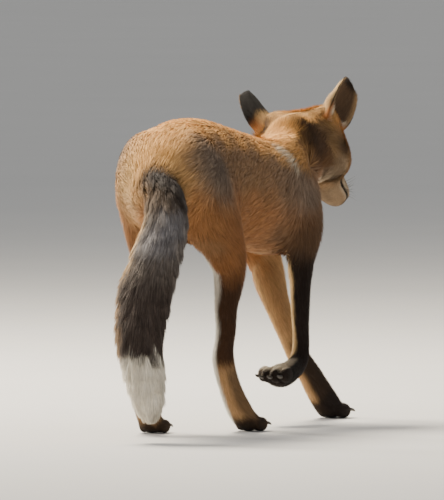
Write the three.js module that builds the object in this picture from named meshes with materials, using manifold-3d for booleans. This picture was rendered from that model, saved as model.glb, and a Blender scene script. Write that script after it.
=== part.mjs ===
// A life-size red fox at a walk, its right forepaw lifted, as solids in millimetres, +Z up.
// The fox faces -Y and its left side is +X. It stands on three soles that are flat at z = 0, and the
// origin is on the floor under the middle of its box.
// Every solid reaches out to the tips of the coat. The body is lofted whole, ring by ring along
// the trunk and each limb, and is then parted into its named lengths with thin gaps between them.
import * as THREE from 'three';
import { mergeVertices } from 'three/addons/utils/BufferGeometryUtils.js';
import Module from 'manifold-3d';

const wasm = await Module();
wasm.setup();

// ---------------------------------------------------------------- driving dimensions

const GAP = 0.5; // clearance between neighbouring solids
const REACH = 1500; // size of the blocks that cut, larger than the fox
// The tables below count from the root of the tail; the model's own origin lies on the floor under
// the middle of its box, this far to the left of the tail's root and ahead of it.
const ORIGIN = [-0.4, 174.3];

// Trunk: [ahead of the tail root, back line, belly line, half width, level of the widest place as a share]
const TRUNK = [
  [-17, 292, 250, 20, 0.5],
  [-4, 322, 236, 37, 0.48],
  [18, 345, 226, 48, 0.48],
  [50, 358, 220, 54, 0.5],
  [94, 362, 214, 56, 0.5],
  [140, 358, 208, 52, 0.5],
  [190, 349, 205, 51, 0.46],
  [240, 340, 200, 54, 0.44],
  [285, 331, 193, 56, 0.44],
  [322, 321, 191, 52, 0.44],
  [350, 306, 198, 43, 0.46],
  [370, 282, 216, 28, 0.5],
];
const TRUNK_CUTS = [100, 232]; // ahead: rump from loin, loin from chest

// Neck: [left, ahead, height, half width, half depth]
const NECK = [
  [0, 288, 260, 47, 58],
  [-2, 316, 276, 46, 54],
  [-5, 341, 293, 44, 48],
  [-7, 361, 307, 42, 42],
  [-8, 376, 318, 36, 34],
];

// Head, in its own frame with the crown between the ears at 0:
// [ahead, top, bottom, half width, level of the widest place as a share]
const HEAD = [
  [-32, -16, -44, 20, 0.5],
  [-24, -5, -56, 34, 0.46],
  [-10, 1, -66, 45, 0.42],
  [6, 2, -72, 49, 0.38],
  [22, -1, -74, 47.5, 0.38],
  [36, -6, -73, 43, 0.42],
  [48, -14, -71, 38, 0.49],
  [59, -22, -70, 31, 0.52],
  [70, -28.5, -69, 25, 0.5],
  [84, -33, -68, 20.5, 0.5],
  [98, -36.5, -66.5, 17, 0.5],
  [110, -38.5, -63, 14, 0.52],
  [117, -41, -58, 10.5, 0.55],
];
const HEAD_AT = [-10, 394, 352.5]; // where the crown is: left, ahead, height
const HEAD_TURN = { yaw: 0, pitch: 27.5, roll: 7 }; // degrees: to the right, nose down, left side low
const EYE = { radius: 9, at: [47, 24, -26] }; // ahead, to the side, up
const NOSE = { at: [117, -45], half: [6.5, 8.5, 6.5] }; // ahead and up; half sizes ahead, across, up
const JAW = { behind: 52, under: -56 }; // the corner of the mouth

// Ears: root, lean of the tip, facing of the hollow and middle of the tufted root, in the head's frame as
// [ahead, out, up].
const EARS = {
  left: { base: [-4, 41.5, -20], lean: [0.05, 0.6, 1], mouth: [0.2, 1, 0], tuft: [1, 34, -3] },
  right: { base: [-3, 30, -15], lean: [0.3, 0.26, 1], mouth: [-0.08, 1, 0.1], tuft: [1, 26, 2] },
};
const EAR = { length: 66, thickness: 4.5, wrapAtRoot: 1.75, wrapAtTip: 1.05, sink: 10 };
const EAR_OUTLINE = [[19], [21.5], [23], [23], [21.5], [17.5], [9]]; // half width in even steps to the tip
const MOUND = [13, 13, 17]; // half sizes of the tufted root of an ear: ahead, to the side, up

// Tail: [left, ahead, height, half width, half depth]
const TAIL = [
  [0, 26, 300, 20, 20],
  [-8, -2, 291, 25, 24],
  [-23, -18, 274, 29, 28],
  [-33, -34, 250, 33, 31],
  [-33, -55, 215, 38, 35],
  [-30, -75, 178, 40, 36],
  [-31, -97, 129, 36, 33],
  [-40, -105, 84, 31.5, 30],
  [-45, -108, 59, 27.5, 26],
  [-48, -109, 41, 18, 17],
];
const TAIL_CUTS = [0.3, 0.52, 0.76]; // shares of its rows

// Legs, from the root in the body to the ball of the foot: [left, ahead, height, half width, half depth]
const LEGS = {
  fore_left: [
    [30, 300, 285, 14, 26],
    [34, 318, 255, 19, 33],
    [33, 340, 220, 19, 35],
    [28, 359, 192, 17, 36],
    [21, 361, 165, 16.5, 33.5],
    [15, 367, 138, 14.5, 23.5],
    [8, 380, 106, 13, 17],
    [1, 397, 74, 13.5, 15.5],
    [-6, 414, 52, 14.5, 16.5],
    [-11, 429, 32, 16.5, 17],
    [-15, 441, 18, 17.5, 15.5],
  ],
  fore_right: [
    [-32, 292, 285, 14, 28],
    [-41, 310, 255, 20, 36],
    [-43, 322, 222, 20, 32],
    [-38, 321, 194, 17.5, 26],
    [-36, 323, 165, 13.5, 18],
    [-34, 327, 132, 12, 14.5],
    [-32, 333, 106, 11, 12.5],
    [-31, 335, 85, 11.5, 12.5],
    [-31, 327, 70, 12.5, 13],
    [-31, 306, 61, 14, 14],
    [-30, 286, 57.5, 16.5, 15],
  ],
  hind_left: [
    [22, 40, 300, 20, 34],
    [34, 56, 264, 29, 44],
    [41, 78, 229, 26, 41],
    [44, 94, 196, 21, 33],
    [43, 95, 168, 17, 26],
    [41, 82, 142, 14, 20],
    [38, 62, 116, 12.5, 16.5],
    [36, 45, 98, 12.5, 16],
    [35, 34, 84, 14, 16],
    [34, 40, 62, 13.5, 14.5],
    [34, 50, 40, 14.5, 14],
    [34, 60, 23, 15.5, 13.5],
    [34, 67, 16, 16, 12.5],
  ],
  hind_right: [
    [-22, 40, 300, 20, 34],
    [-34, 64, 264, 29, 44],
    [-39, 94, 229, 26, 40],
    [-41, 116, 198, 22, 31],
    [-40, 120, 170, 17.5, 25.5],
    [-39, 114, 144, 14, 19.5],
    [-39.5, 113, 120, 12.5, 16.5],
    [-38.5, 110, 100, 12.5, 15.5],
    [-38, 108, 84, 14, 16.5],
    [-40, 115, 62, 14, 15],
    [-43, 126, 40, 15, 15],
    [-45.5, 138, 24, 16.5, 14],
    [-47, 146, 16, 16.5, 13],
  ],
};
// Where each kind of leg is parted, as shares of its rows, and what its lengths are called.
const LEG_PARTS = {
  fore: { cuts: [0.4, 0.76], names: ['upper_arm', 'forearm', 'paw'] },
  hind: { cuts: [0.38, 0.72], names: ['thigh', 'shank', 'paw'] },
};

// Paws: the ball of the foot, the way the toes point and the way the sole faces, as [left, ahead, up].
const PAWS = {
  fore_left: { ball: [-17.5, 445, 12], toes: [-0.28, 1, 0], sole: [0, 0, -1], size: 1.04 },
  fore_right: { ball: [-30, 278, 56.5], toes: [0.1, -1, -0.06], sole: [0, -0.1, 1], size: 1.08 },
  hind_left: { ball: [34, 72, 10.8], toes: [-0.05, 1, 0], sole: [0, 0, -1], size: 0.95 },
  hind_right: { ball: [-48.5, 154, 11.3], toes: [-0.16, 1, 0], sole: [0, 0, -1], size: 0.98 },
};
const HEEL_PAD = [16, 15, 12.5]; // half sizes across, ahead and up
// Toes of one paw: [across, ahead], and the half sizes that all of them have.
const TOES = [[-13.5, 7], [-5, 14], [5, 14], [13.5, 7]];
const TOE_HALF = [6.2, 12.5, 9.5];
const CLAW = { radius: 1.9, length: 8, drop: 2.6 };

const COLOURS = {
  russet: [0.5, 0.24, 0.09],
  flank: [0.4, 0.25, 0.14],
  smoke: [0.12, 0.1, 0.085],
  black: [0.035, 0.028, 0.025],
  cream: [0.72, 0.66, 0.55],
  amber: [0.32, 0.16, 0.03],
  horn: [0.06, 0.05, 0.045],
};

// ---------------------------------------------------------------- solids

// A point from its distance to the fox's left, ahead of the tail root, and above the floor.
const at = (left, ahead, height) => new THREE.Vector3(left, -ahead, height);

// A closed geometry as a solid that can be joined and cut, with its faces outward.
function solid(geometry) {
  const bare = geometry.index ? geometry.toNonIndexed() : geometry.clone();
  bare.deleteAttribute('normal');
  bare.deleteAttribute('uv');
  const merged = mergeVertices(bare, 1e-4);
  const mesh = (corners) => new wasm.Mesh({
    numProp: 3,
    vertProperties: merged.attributes.position.array,
    triVerts: new Uint32Array(corners),
  });
  const shape = new wasm.Manifold(mesh(merged.index.array));
  return shape.volume() > 0 ? shape : new wasm.Manifold(mesh([...merged.index.array].reverse()));
}

const join = (solids) => solids.reduce((a, b) => a.add(b));
const cutAll = (shape, cutters) => cutters.reduce((rest, cutter) => rest.subtract(cutter), shape);

// The largest of the bodies that a cut leaves.
function largest(shape) {
  return shape.decompose().sort((a, b) => b.volume() - a.volume())[0];
}

// Everything on one side of a plane, from half a gap beyond it: side 1 is ahead of it, -1 behind it.
function beyond({ centre, along }, side) {
  const turn = new THREE.Quaternion().setFromUnitVectors(new THREE.Vector3(0, 0, 1), along);
  const middle = centre.clone().addScaledVector(along, side * (REACH - GAP) / 2);
  const block = new THREE.BoxGeometry(REACH, REACH, REACH);
  return solid(block.applyQuaternion(turn).translate(...middle.toArray()));
}

// A shape parted by planes in turn, from its root to its tip, with a gap at each.
function partedAlong(shape, planes) {
  return [null, ...planes].map((near, i) => {
    const far = planes[i] ?? null;
    const cutters = [near && beyond(near, -1), far && beyond(far, 1)].filter(Boolean);
    return largest(cutAll(shape, cutters));
  });
}

// ---------------------------------------------------------------- lofts

// Numbers of a table run smoothly through its rows, at a share from 0 to 1.
function rowAt(table, share) {
  const place = share * (table.length - 1);
  const i = Math.min(Math.floor(place), table.length - 2);
  const t = place - i;
  const row = (k) => table[THREE.MathUtils.clamp(k, 0, table.length - 1)];
  return table[0].map((_, n) => {
    const [a, b, c, d] = [row(i - 1)[n], row(i)[n], row(i + 1)[n], row(i + 2)[n]];
    const [slope, bend, twist] = [c - a, 2 * a - 5 * b + 4 * c - d, 3 * b - a - 3 * c + d];
    return 0.5 * (2 * b + slope * t + bend * t * t + twist * t ** 3);
  });
}

const middleOf = (ring) => ring.reduce((sum, p) => sum.add(p), new THREE.Vector3()).divideScalar(ring.length);

// Rounds both ends of a run of rings with two smaller rings each.
function domed(rings) {
  const dome = (end, next) => {
    const middle = middleOf(end);
    const reach = end.reduce((sum, p) => sum + p.distanceTo(middle), 0) / end.length;
    const out = middle.clone().sub(middleOf(next)).normalize();
    const inwards = (p, share) => middle.clone().lerp(p, share);
    const ring = (share, depth) => end.map((p) => inwards(p, share).addScaledVector(out, reach * depth));
    return [ring(0.8, 0.32), ring(0.42, 0.5)];
  };
  return [...dome(rings[0], rings[1]).reverse(), ...rings, ...dome(rings.at(-1), rings.at(-2))];
}

// Closed skin over rings of equal count; each end is closed by a fan to its middle.
function skinOver(rings) {
  const count = rings[0].length;
  const last = (rings.length - 1) * count;
  const points = [...rings.flat(), middleOf(rings[0]), middleOf(rings.at(-1))];
  const index = [];
  for (let i = 0; i < count; i += 1) {
    const j = (i + 1) % count;
    for (let base = 0; base < last; base += count) {
      index.push(base + i, base + j, base + j + count, base + i, base + j + count, base + i + count);
    }
    index.push(points.length - 2, j, i, points.length - 1, last + i, last + j);
  }
  const geometry = new THREE.BufferGeometry().setFromPoints(points);
  geometry.setIndex(index);
  return geometry;
}

// Upright rings between a back line and a belly line, each widest at its own level.
function uprightLoft(table, ringCount, sides, grow = 0) {
  const rings = Array.from({ length: ringCount + 1 }, (_, k) => {
    const [ahead, top, bottom, half, level] = rowAt(table, k / ringCount);
    const widest = bottom + (top - bottom) * level;
    return Array.from({ length: sides }, (_, s) => {
      const angle = (s / sides) * Math.PI * 2;
      const rise = Math.sin(angle) > 0 ? top - widest : widest - bottom;
      return at(-Math.cos(angle) * (half + grow), ahead, widest + Math.sin(angle) * (rise + grow));
    });
  });
  return skinOver(domed(rings));
}

// Rings square to a path of rows [left, ahead, height, half width, half depth].
function limbLoft(table, ringCount, sides, grow = 0) {
  const rows = Array.from({ length: ringCount + 1 }, (_, k) => rowAt(table, k / ringCount));
  const centres = rows.map(([left, ahead, height]) => at(left, ahead, height));
  const rings = rows.map(([, , , half, depth], k) => {
    const [before, after] = [centres[Math.max(k - 1, 0)], centres[Math.min(k + 1, ringCount)]];
    const along = after.clone().sub(before).normalize();
    const side = new THREE.Vector3(1, 0, 0).addScaledVector(along, -along.x).normalize();
    const fore = new THREE.Vector3().crossVectors(along, side);
    return Array.from({ length: sides }, (_, s) => {
      const angle = (s / sides) * Math.PI * 2;
      const out = side.clone().multiplyScalar(Math.cos(angle) * (half + grow));
      return out.addScaledVector(fore, Math.sin(angle) * (depth + grow)).add(centres[k]);
    });
  });
  return skinOver(domed(rings));
}

// A plane square to the path of a limb, at a share of its rows.
function planeAcross(table, share) {
  const [centre, next] = [share, share + 0.02].map((s) => at(...rowAt(table, s).slice(0, 3)));
  return { centre, along: next.sub(centre).normalize() };
}

const trunkLoft = (grow) => solid(uprightLoft(TRUNK, 13, 18, grow));
const tailLoft = (grow) => solid(limbLoft(TAIL, 13, 12, grow));
const legLoft = (name, grow) => solid(limbLoft(LEGS[name], 12, 10, grow));

// An ellipsoid set in a frame.
function egg(half, frame, around = 12, up = 8) {
  return new THREE.SphereGeometry(1, around, up).scale(...half).applyMatrix4(frame);
}

// ---------------------------------------------------------------- head

const SIDES = { left: 1, right: -1 };
const turns = [HEAD_TURN.pitch, HEAD_TURN.roll, HEAD_TURN.yaw].map(THREE.MathUtils.degToRad);
const headFrame = new THREE.Matrix4().makeRotationFromEuler(new THREE.Euler(...turns, 'ZXY'))
  .setPosition(at(...HEAD_AT));
const inHead = (geometry) => solid(geometry.applyMatrix4(headFrame));
const skullLoft = (grow) => join([
  inHead(uprightLoft(HEAD, 13, 15, grow)),
  ...Object.keys(SIDES).map((side) => mound(side, grow)),
]);

function mound(side, grow) {
  const [[ahead, out, up], [long, wide, high]] = [EARS[side].tuft, MOUND.map((h) => h + grow)];
  const egg = new THREE.SphereGeometry(1, 7, 5).rotateX(Math.PI / 2).scale(wide, long, high);
  return inHead(egg.translate(SIDES[side] * out, -ahead, up));
}

function eyeball(side, grow = 0) {
  const [ahead, out, up] = EYE.at;
  return inHead(new THREE.SphereGeometry(EYE.radius + grow, 9, 7).translate(SIDES[side] * out, -ahead, up));
}

function noseLeather(grow = 0) {
  const [deep, wide, high] = NOSE.half.map((h) => h + grow);
  const [ahead, up] = NOSE.at;
  return inHead(new THREE.SphereGeometry(1, 10, 6).scale(wide, deep, high).translate(0, -ahead, up));
}

// The block in which the lower jaw lies: under the lips and ahead of the corner of the mouth.
function jawRoom(grow = 0) {
  const [long, high] = [100 + grow, 60 + grow];
  const box = new THREE.BoxGeometry(120, long, high);
  return inHead(box.translate(0, -JAW.behind - long / 2 + grow, JAW.under - high / 2 + grow));
}

// An ear: a solid leaf rounded at its back, hollowed from the side that its mouth faces.
function ear(side) {
  const { base, lean, mouth } = EARS[side];
  const outward = ([ahead, out, up]) => at(SIDES[side] * out, ahead, up);
  const [root, up, facing] = [outward(base), outward(lean).normalize(), outward(mouth)];
  facing.addScaledVector(up, -facing.dot(up)).normalize();
  const across = new THREE.Vector3().crossVectors(facing, up);
  const steps = 5;
  const arc = (share, wall) => Array.from({ length: steps + 1 }, (_, v) => {
    const wrap = THREE.MathUtils.lerp(EAR.wrapAtRoot, EAR.wrapAtTip, share);
    const radius = rowAt(EAR_OUTLINE, Math.min(share, 1))[0] / Math.sin(Math.min(wrap, 1.45));
    const angle = ((v / steps) * 2 - 1) * wrap;
    const depth = radius - (radius - wall) * Math.cos(angle);
    return root.clone()
      .addScaledVector(up, share * EAR.length)
      .addScaledVector(across, (radius - wall) * Math.sin(angle))
      .addScaledVector(facing, depth * 0.9 - EAR.sink + 6 * share * share);
  });
  const leaf = Array.from({ length: 7 }, (_, u) => arc(u / 6, 0));
  const hollow = Array.from({ length: 6 }, (_, u) => {
    const share = 0.16 + 0.18 * u;
    const ring = arc(share, EAR.thickness * (1 - 0.6 * Math.min(share, 1)));
    const mouthEdge = (p) => p.clone().addScaledVector(facing, 60);
    return [...ring, mouthEdge(ring.at(-1)), mouthEdge(ring[0])];
  });
  return inHead(skinOver(leaf)).subtract(inHead(skinOver(hollow)));
}

// ---------------------------------------------------------------- paws and claws

// The frame of a paw: across it, ahead along its toes, and up away from its sole.
function pawFrame(name) {
  const { ball, toes, sole } = PAWS[name];
  const ahead = at(...toes).normalize();
  const up = at(...sole).negate();
  up.addScaledVector(ahead, -up.dot(ahead)).normalize();
  const across = new THREE.Vector3().crossVectors(ahead, up);
  return new THREE.Matrix4().makeBasis(across, ahead, up).setPosition(at(...ball));
}

const toeFrame = (name, [across, ahead]) => {
  const { size } = PAWS[name];
  return pawFrame(name).multiply(new THREE.Matrix4().makeTranslation(across * size, ahead * size, -3 * size));
};

function toe(name, place, grow = 0) {
  const half = TOE_HALF.map((h) => h * PAWS[name].size + grow);
  return solid(egg(half, toeFrame(name, place), 6, 4));
}

function paw(name) {
  const pad = solid(egg(HEEL_PAD.map((h) => h * PAWS[name].size), pawFrame(name), 8, 5));
  return join([pad, ...TOES.map((place) => toe(name, place))]);
}

// A curved claw that leaves the front of its toe and bends down.
function claw(name, place) {
  const start = TOE_HALF[1] * PAWS[name].size + GAP;
  const rings = [0, 0.55, 1].map((share) => {
    const radius = CLAW.radius * (1 - 0.7 * share);
    return Array.from({ length: 5 }, (_, s) => {
      const angle = (s / 5) * Math.PI * 2;
      return new THREE.Vector3(
        radius * Math.cos(angle),
        start + share * CLAW.length,
        1 - CLAW.drop * share * share + radius * Math.sin(angle),
      ).applyMatrix4(toeFrame(name, place));
    });
  });
  return solid(skinOver(rings));
}

// ---------------------------------------------------------------- the whole fox, parted

const nodes = [];
const add = (name, shape, colour, roughness = 0.85) => nodes.push({ name, shape, colour, roughness });

// Head, with its jaw, nose, eyes and ears.
function addHead(headEnd) {
  let head = cutAll(headEnd, [noseLeather(GAP)]);
  add('jaw', largest(head.intersect(jawRoom())), COLOURS.cream);
  head = largest(cutAll(head, [jawRoom(GAP), ...Object.keys(SIDES).map((side) => eyeball(side, GAP))]));
  add('head', head, COLOURS.russet);
  add('nose', noseLeather(), COLOURS.black, 0.4);
  for (const side of Object.keys(SIDES)) {
    add(`eye_${side}`, eyeball(side), COLOURS.amber, 0.1);
    add(`ear_${side}`, largest(ear(side).subtract(skullLoft(GAP))), COLOURS.black);
  }
}

function addLeg(name, floor) {
  const { cuts, names } = LEG_PARTS[name.split('_')[0]];
  const whole = cutAll(join([legLoft(name, 0), paw(name)]), [floor, tailLoft(GAP)]);
  const lengths = partedAlong(whole, cuts.map((share) => planeAcross(LEGS[name], share)));
  const colours = [COLOURS.flank, COLOURS.smoke, COLOURS.black];
  lengths.forEach((shape, i) => add(`${name}_${names[i]}`, shape, colours[i]));
  TOES.forEach((place, i) => add(`${name}_claw_${i + 1}`, claw(name, place), COLOURS.horn, 0.4));
}

function addFox() {
  // The limbs and the tail sit in pockets of the trunk; planes part the trunk and the neck across.
  const legNames = Object.keys(LEGS);
  const pockets = [...legNames.map((name) => legLoft(name, GAP)), tailLoft(GAP)];
  const across = TRUNK_CUTS.map((ahead) => ({ centre: at(0, ahead, 280), along: at(0, 1, 0) }));
  const lengths = partedAlong(cutAll(trunkLoft(0), pockets), across);
  add('trunk_rump', lengths[0], COLOURS.russet);
  add('trunk_loin', lengths[1], COLOURS.russet);
  add('trunk_chest', lengths[2], COLOURS.flank);

  const nape = {
    centre: new THREE.Vector3(0, 22, -34).applyMatrix4(headFrame),
    along: new THREE.Vector3(0, -1, 0.3).transformDirection(headFrame),
  };
  const front = cutAll(join([solid(limbLoft(NECK, 5, 14)), skullLoft(0)]), [trunkLoft(GAP), ...pockets]);
  const [neck, headEnd] = partedAlong(front, [nape]);
  add('neck', neck, COLOURS.flank);
  addHead(headEnd);

  const tailPlanes = TAIL_CUTS.map((share) => planeAcross(TAIL, share));
  partedAlong(tailLoft(0), tailPlanes).forEach((shape, i) => {
    add(`tail_${i + 1}`, shape, i < 3 ? COLOURS.smoke : COLOURS.cream);
  });

  const floor = beyond({ centre: at(0, 0, -GAP / 2), along: at(0, 0, 1) }, -1);
  for (const name of legNames) addLeg(name, floor);
}

addFox();

const fox = new THREE.Group();
for (const { name, shape, colour, roughness } of nodes) {
  const { vertProperties, triVerts, numProp } = shape.getMesh();
  const geometry = new THREE.BufferGeometry();
  geometry.setAttribute('position', new THREE.BufferAttribute(new Float32Array(vertProperties), numProp));
  geometry.setIndex(new THREE.BufferAttribute(new Uint32Array(triVerts), 1));
  geometry.translate(...at(...ORIGIN, 0).negate().toArray());
  geometry.computeVertexNormals();
  const color = new THREE.Color().setRGB(...colour);
  const mesh = new THREE.Mesh(geometry, new THREE.MeshStandardMaterial({ color, roughness, metalness: 0 }));
  mesh.name = name;
  fox.add(mesh);
}

export default fox;
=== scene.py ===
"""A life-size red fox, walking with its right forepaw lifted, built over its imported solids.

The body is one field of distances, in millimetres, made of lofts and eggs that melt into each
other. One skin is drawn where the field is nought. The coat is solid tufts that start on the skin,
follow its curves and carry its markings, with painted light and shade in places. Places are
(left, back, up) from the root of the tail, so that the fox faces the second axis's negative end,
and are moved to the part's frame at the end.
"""

import logging
import math
from dataclasses import dataclass, field
from enum import Enum
from typing import Dict, List, Optional, Sequence, Tuple, Union

import bpy
import numpy as np
import openvdb
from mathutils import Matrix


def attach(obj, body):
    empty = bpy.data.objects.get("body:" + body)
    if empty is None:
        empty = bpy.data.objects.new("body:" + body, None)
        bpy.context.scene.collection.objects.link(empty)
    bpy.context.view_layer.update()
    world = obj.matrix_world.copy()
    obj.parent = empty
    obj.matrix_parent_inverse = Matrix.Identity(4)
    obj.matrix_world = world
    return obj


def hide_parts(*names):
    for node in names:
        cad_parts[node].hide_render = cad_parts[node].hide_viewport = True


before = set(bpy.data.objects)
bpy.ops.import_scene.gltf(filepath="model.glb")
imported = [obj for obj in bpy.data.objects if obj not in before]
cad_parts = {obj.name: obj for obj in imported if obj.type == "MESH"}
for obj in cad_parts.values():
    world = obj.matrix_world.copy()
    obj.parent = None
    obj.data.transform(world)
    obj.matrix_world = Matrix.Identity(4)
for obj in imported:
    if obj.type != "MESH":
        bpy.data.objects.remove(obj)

LOG = logging.getLogger("fox")
Array = np.ndarray

MM = 0.001
ORIGIN = np.array([-0.4, -174.3, 0.0])  # the part's origin, from the root of the tail
IMAGE = (444, 500)
SIDES: Dict[str, int] = {"left": 1, "right": -1}
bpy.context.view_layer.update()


# ------------------------------------------------------------------ the fox's measures


def place(left: float, ahead: float, height: float) -> Array:
    """A point from its distance to the fox's left, ahead of the tail's root and above the floor."""
    return np.array([left, -ahead, height], float)


# Trunk: ahead, back line, belly line, half width, level of the widest place as a share, coat depth.
TRUNK = np.array([
    [-17, 292, 250, 20, 0.50, 9],
    [-4, 322, 236, 37, 0.48, 9],
    [18, 345, 226, 48, 0.48, 9],
    [50, 358, 220, 54, 0.50, 9],
    [94, 362, 214, 56, 0.50, 9],
    [140, 358, 208, 52, 0.50, 9],
    [190, 349, 205, 51, 0.46, 9],
    [240, 340, 200, 54, 0.44, 9],
    [285, 331, 193, 56, 0.44, 9],
    [322, 321, 191, 52, 0.44, 9],
    [350, 306, 198, 43, 0.46, 9],
    [370, 282, 216, 28, 0.50, 9],
], float)

# Neck and tail: left, ahead, height, half width, half depth, coat depth.
NECK = np.array([
    [0, 288, 260, 47, 58, 9],
    [-2, 316, 276, 46, 54, 9],
    [-5, 341, 293, 44, 48, 9],
    [-7, 361, 307, 42, 42, 8],
    [-8, 376, 318, 36, 34, 7],
], float)
TAIL = np.array([
    [0, 26, 300, 20, 20, 7],
    [-8, -2, 291, 25, 24, 8],
    [-23, -18, 274, 29, 28, 11],
    [-33, -34, 250, 33, 31, 14],
    [-33, -55, 215, 38, 35, 17],
    [-30, -75, 178, 40, 36, 18],
    [-31, -97, 129, 36, 33, 17],
    [-40, -105, 84, 31.5, 30, 16],
    [-45, -108, 59, 27.5, 26, 15],
    [-48, -109, 41, 18, 17, 11],
], float)

# Head, in its own frame: ahead, top, bottom, half width, level of the widest place, coat depth.
HEAD = np.array([
    [-32, -16, -44, 20, 0.50, 5],
    [-24, -5, -56, 34, 0.46, 5],
    [-10, 1, -66, 45, 0.42, 6],
    [6, 2, -72, 49, 0.38, 7],
    [22, -1, -74, 47.5, 0.38, 7],
    [36, -6, -73, 43, 0.42, 5],
    [48, -14, -71, 38, 0.49, 3.5],
    [59, -22, -70, 31, 0.52, 2.6],
    [70, -28.5, -69, 25, 0.50, 2.2],
    [84, -33, -68, 20.5, 0.50, 2],
    [98, -36.5, -66.5, 17, 0.50, 1.8],
    [110, -38.5, -63, 14, 0.52, 1.5],
    [117, -41, -58, 10.5, 0.55, 1.2],
], float)
HEAD_AT = place(-10, 394, 352.5)
HEAD_TURN = {"yaw": 0.0, "pitch": 27.5, "roll": 7.0}

# Legs, root to ball: left, ahead, height, half width, half depth, coat depth.
LEGS: Dict[str, Array] = {
    "fore_left": np.array([
        [30, 300, 285, 14, 26, 8],
        [34, 318, 255, 19, 33, 8],
        [33, 340, 220, 19, 35, 7],
        [28, 359, 192, 17, 36, 6],
        [21, 361, 165, 16.5, 33.5, 5],
        [15, 367, 138, 14.5, 23.5, 4],
        [8, 380, 106, 13, 17, 3],
        [1, 397, 74, 13.5, 15.5, 3],
        [-6, 414, 52, 14.5, 16.5, 3],
        [-11, 429, 32, 16.5, 17, 3],
        [-15, 441, 18, 17.5, 15.5, 2.5],
    ], float),
    "fore_right": np.array([
        [-32, 292, 285, 14, 28, 8],
        [-41, 310, 255, 20, 36, 8],
        [-43, 322, 222, 20, 32, 7],
        [-38, 321, 194, 17.5, 26, 6],
        [-36, 323, 165, 13.5, 18, 4],
        [-34, 327, 132, 12, 14.5, 3],
        [-32, 333, 106, 11, 12.5, 3],
        [-31, 335, 85, 11.5, 12.5, 3],
        [-31, 327, 70, 12.5, 13, 3],
        [-31, 306, 61, 14, 14, 3],
        [-30, 286, 57.5, 16.5, 15, 2.5],
    ], float),
    "hind_left": np.array([
        [22, 40, 300, 20, 34, 8],
        [34, 56, 264, 29, 44, 8],
        [41, 78, 229, 26, 41, 7],
        [44, 94, 196, 21, 33, 6],
        [43, 95, 168, 17, 26, 5],
        [41, 82, 142, 14, 20, 4],
        [38, 62, 116, 12.5, 16.5, 3],
        [36, 45, 98, 12.5, 16, 3],
        [35, 34, 84, 14, 16, 3],
        [34, 40, 62, 13.5, 14.5, 3],
        [34, 50, 40, 14.5, 14, 3],
        [34, 60, 23, 15.5, 13.5, 2.5],
        [34, 67, 16, 16, 12.5, 2.5],
    ], float),
    "hind_right": np.array([
        [-22, 40, 300, 20, 34, 8],
        [-34, 64, 264, 29, 44, 8],
        [-39, 94, 229, 26, 40, 7],
        [-41, 116, 198, 22, 31, 6],
        [-40, 120, 170, 17.5, 25.5, 5],
        [-39, 114, 144, 14, 19.5, 4],
        [-39.5, 113, 120, 12.5, 16.5, 3],
        [-38.5, 110, 100, 12.5, 15.5, 3],
        [-38, 108, 84, 14, 16.5, 3],
        [-40, 115, 62, 14, 15, 3],
        [-43, 126, 40, 15, 15, 3],
        [-45.5, 138, 24, 16.5, 14, 2.5],
        [-47, 146, 16, 16.5, 13, 2.5],
    ], float),
}


@dataclass(frozen=True)
class PawPose:
    """Where a paw's ball is, the way its toes point and its sole faces, and its size."""

    ball: Array
    toes: Array
    sole: Array
    size: float


PAWS: Dict[str, PawPose] = {
    "fore_left": PawPose(place(-17.5, 445, 12), place(-0.28, 1, 0), place(0, 0, -1), 1.04),
    "fore_right": PawPose(place(-30, 278, 56.5), place(0.1, -1, -0.06), place(0, -0.1, 1), 1.08),
    "hind_left": PawPose(place(34, 72, 10.8), place(-0.05, 1, 0), place(0, 0, -1), 0.95),
    "hind_right": PawPose(place(-48.5, 154, 11.3), place(-0.16, 1, 0), place(0, 0, -1), 0.98),
}
HEEL_PAD = np.array([16, 15, 12.5])
TOES = ((-13.5, 7.0), (-5.0, 14.0), (5.0, 14.0), (13.5, 7.0))
TOE_HALF = np.array([6.2, 12.5, 9.5])
EYE_RADIUS = 9.0
EYE_AT = (47.0, 24.0, -26.0)  # ahead, to the side, up, in the head's frame
TUFTED = {"left": (-2.0, 34.0, -5.0), "right": (-2.0, 26.0, -2.0)}  # the tufted roots of the ears
GAZE = (0.46, 0.88, 0.10)  # the way the eye looks: ahead, to the side, up
SLIT_HALF = (0.80, 0.56)  # the eye opening's half width and half height, over the eyeball's radius
SLIT_DRAWN = 0.35  # how far the opening is drawn in at its corners
BEHIND_EYE = 10.0  # the opening's measure at places behind the eyeball

FAR = 60.0  # the field where no shape is near
PELAGE = "pelage"  # the attribute that carries the coat's colours
RUMP_END, LOIN_END = 95.0, 215.0  # how far ahead the coat's rump and loin reach
BRUSH_TOP = 150.0  # how high the brush of the tail begins


# ------------------------------------------------------------------ small helpers


def unit(vectors: Array) -> Array:
    """Vectors over their lengths, along the last axis."""
    return vectors / np.maximum(np.linalg.norm(vectors, axis=-1, keepdims=True), 1e-9)


def smooth(values: Array, low: float, high: float) -> Array:
    """Nought below low, one above high, and an even S between them; low may be the larger."""
    t = np.clip((values - low) / (high - low), 0.0, 1.0)
    return t * t * (3.0 - 2.0 * t)


def melt(a: Array, b: Array, width: float) -> Array:
    """The lesser of two distances, rounded where they differ by less than width."""
    h = np.maximum(width - np.abs(a - b), 0.0) / width
    return np.minimum(a, b) - h * h * width * 0.25


def resample(rows: Array, count: int) -> Array:
    """Rows run smoothly through a table.

    Each value follows a Catmull-Rom curve through the table's rows, whose ends count twice.

    Args:
        rows: the table, one row to a ring.
        count: how many rows come back.

    Returns:
        An array of count rows.
    """
    at = np.linspace(0.0, len(rows) - 1.0, count)
    i = np.minimum(at.astype(int), len(rows) - 2)
    t = (at - i)[:, None]
    a, b, c, d = (rows[np.clip(i + k, 0, len(rows) - 1)] for k in (-1, 0, 1, 2))
    return 0.5 * (2 * b + (c - a) * t + (2 * a - 5 * b + 4 * c - d) * t**2 + (3 * b - a - 3 * c + d) * t**3)


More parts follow.
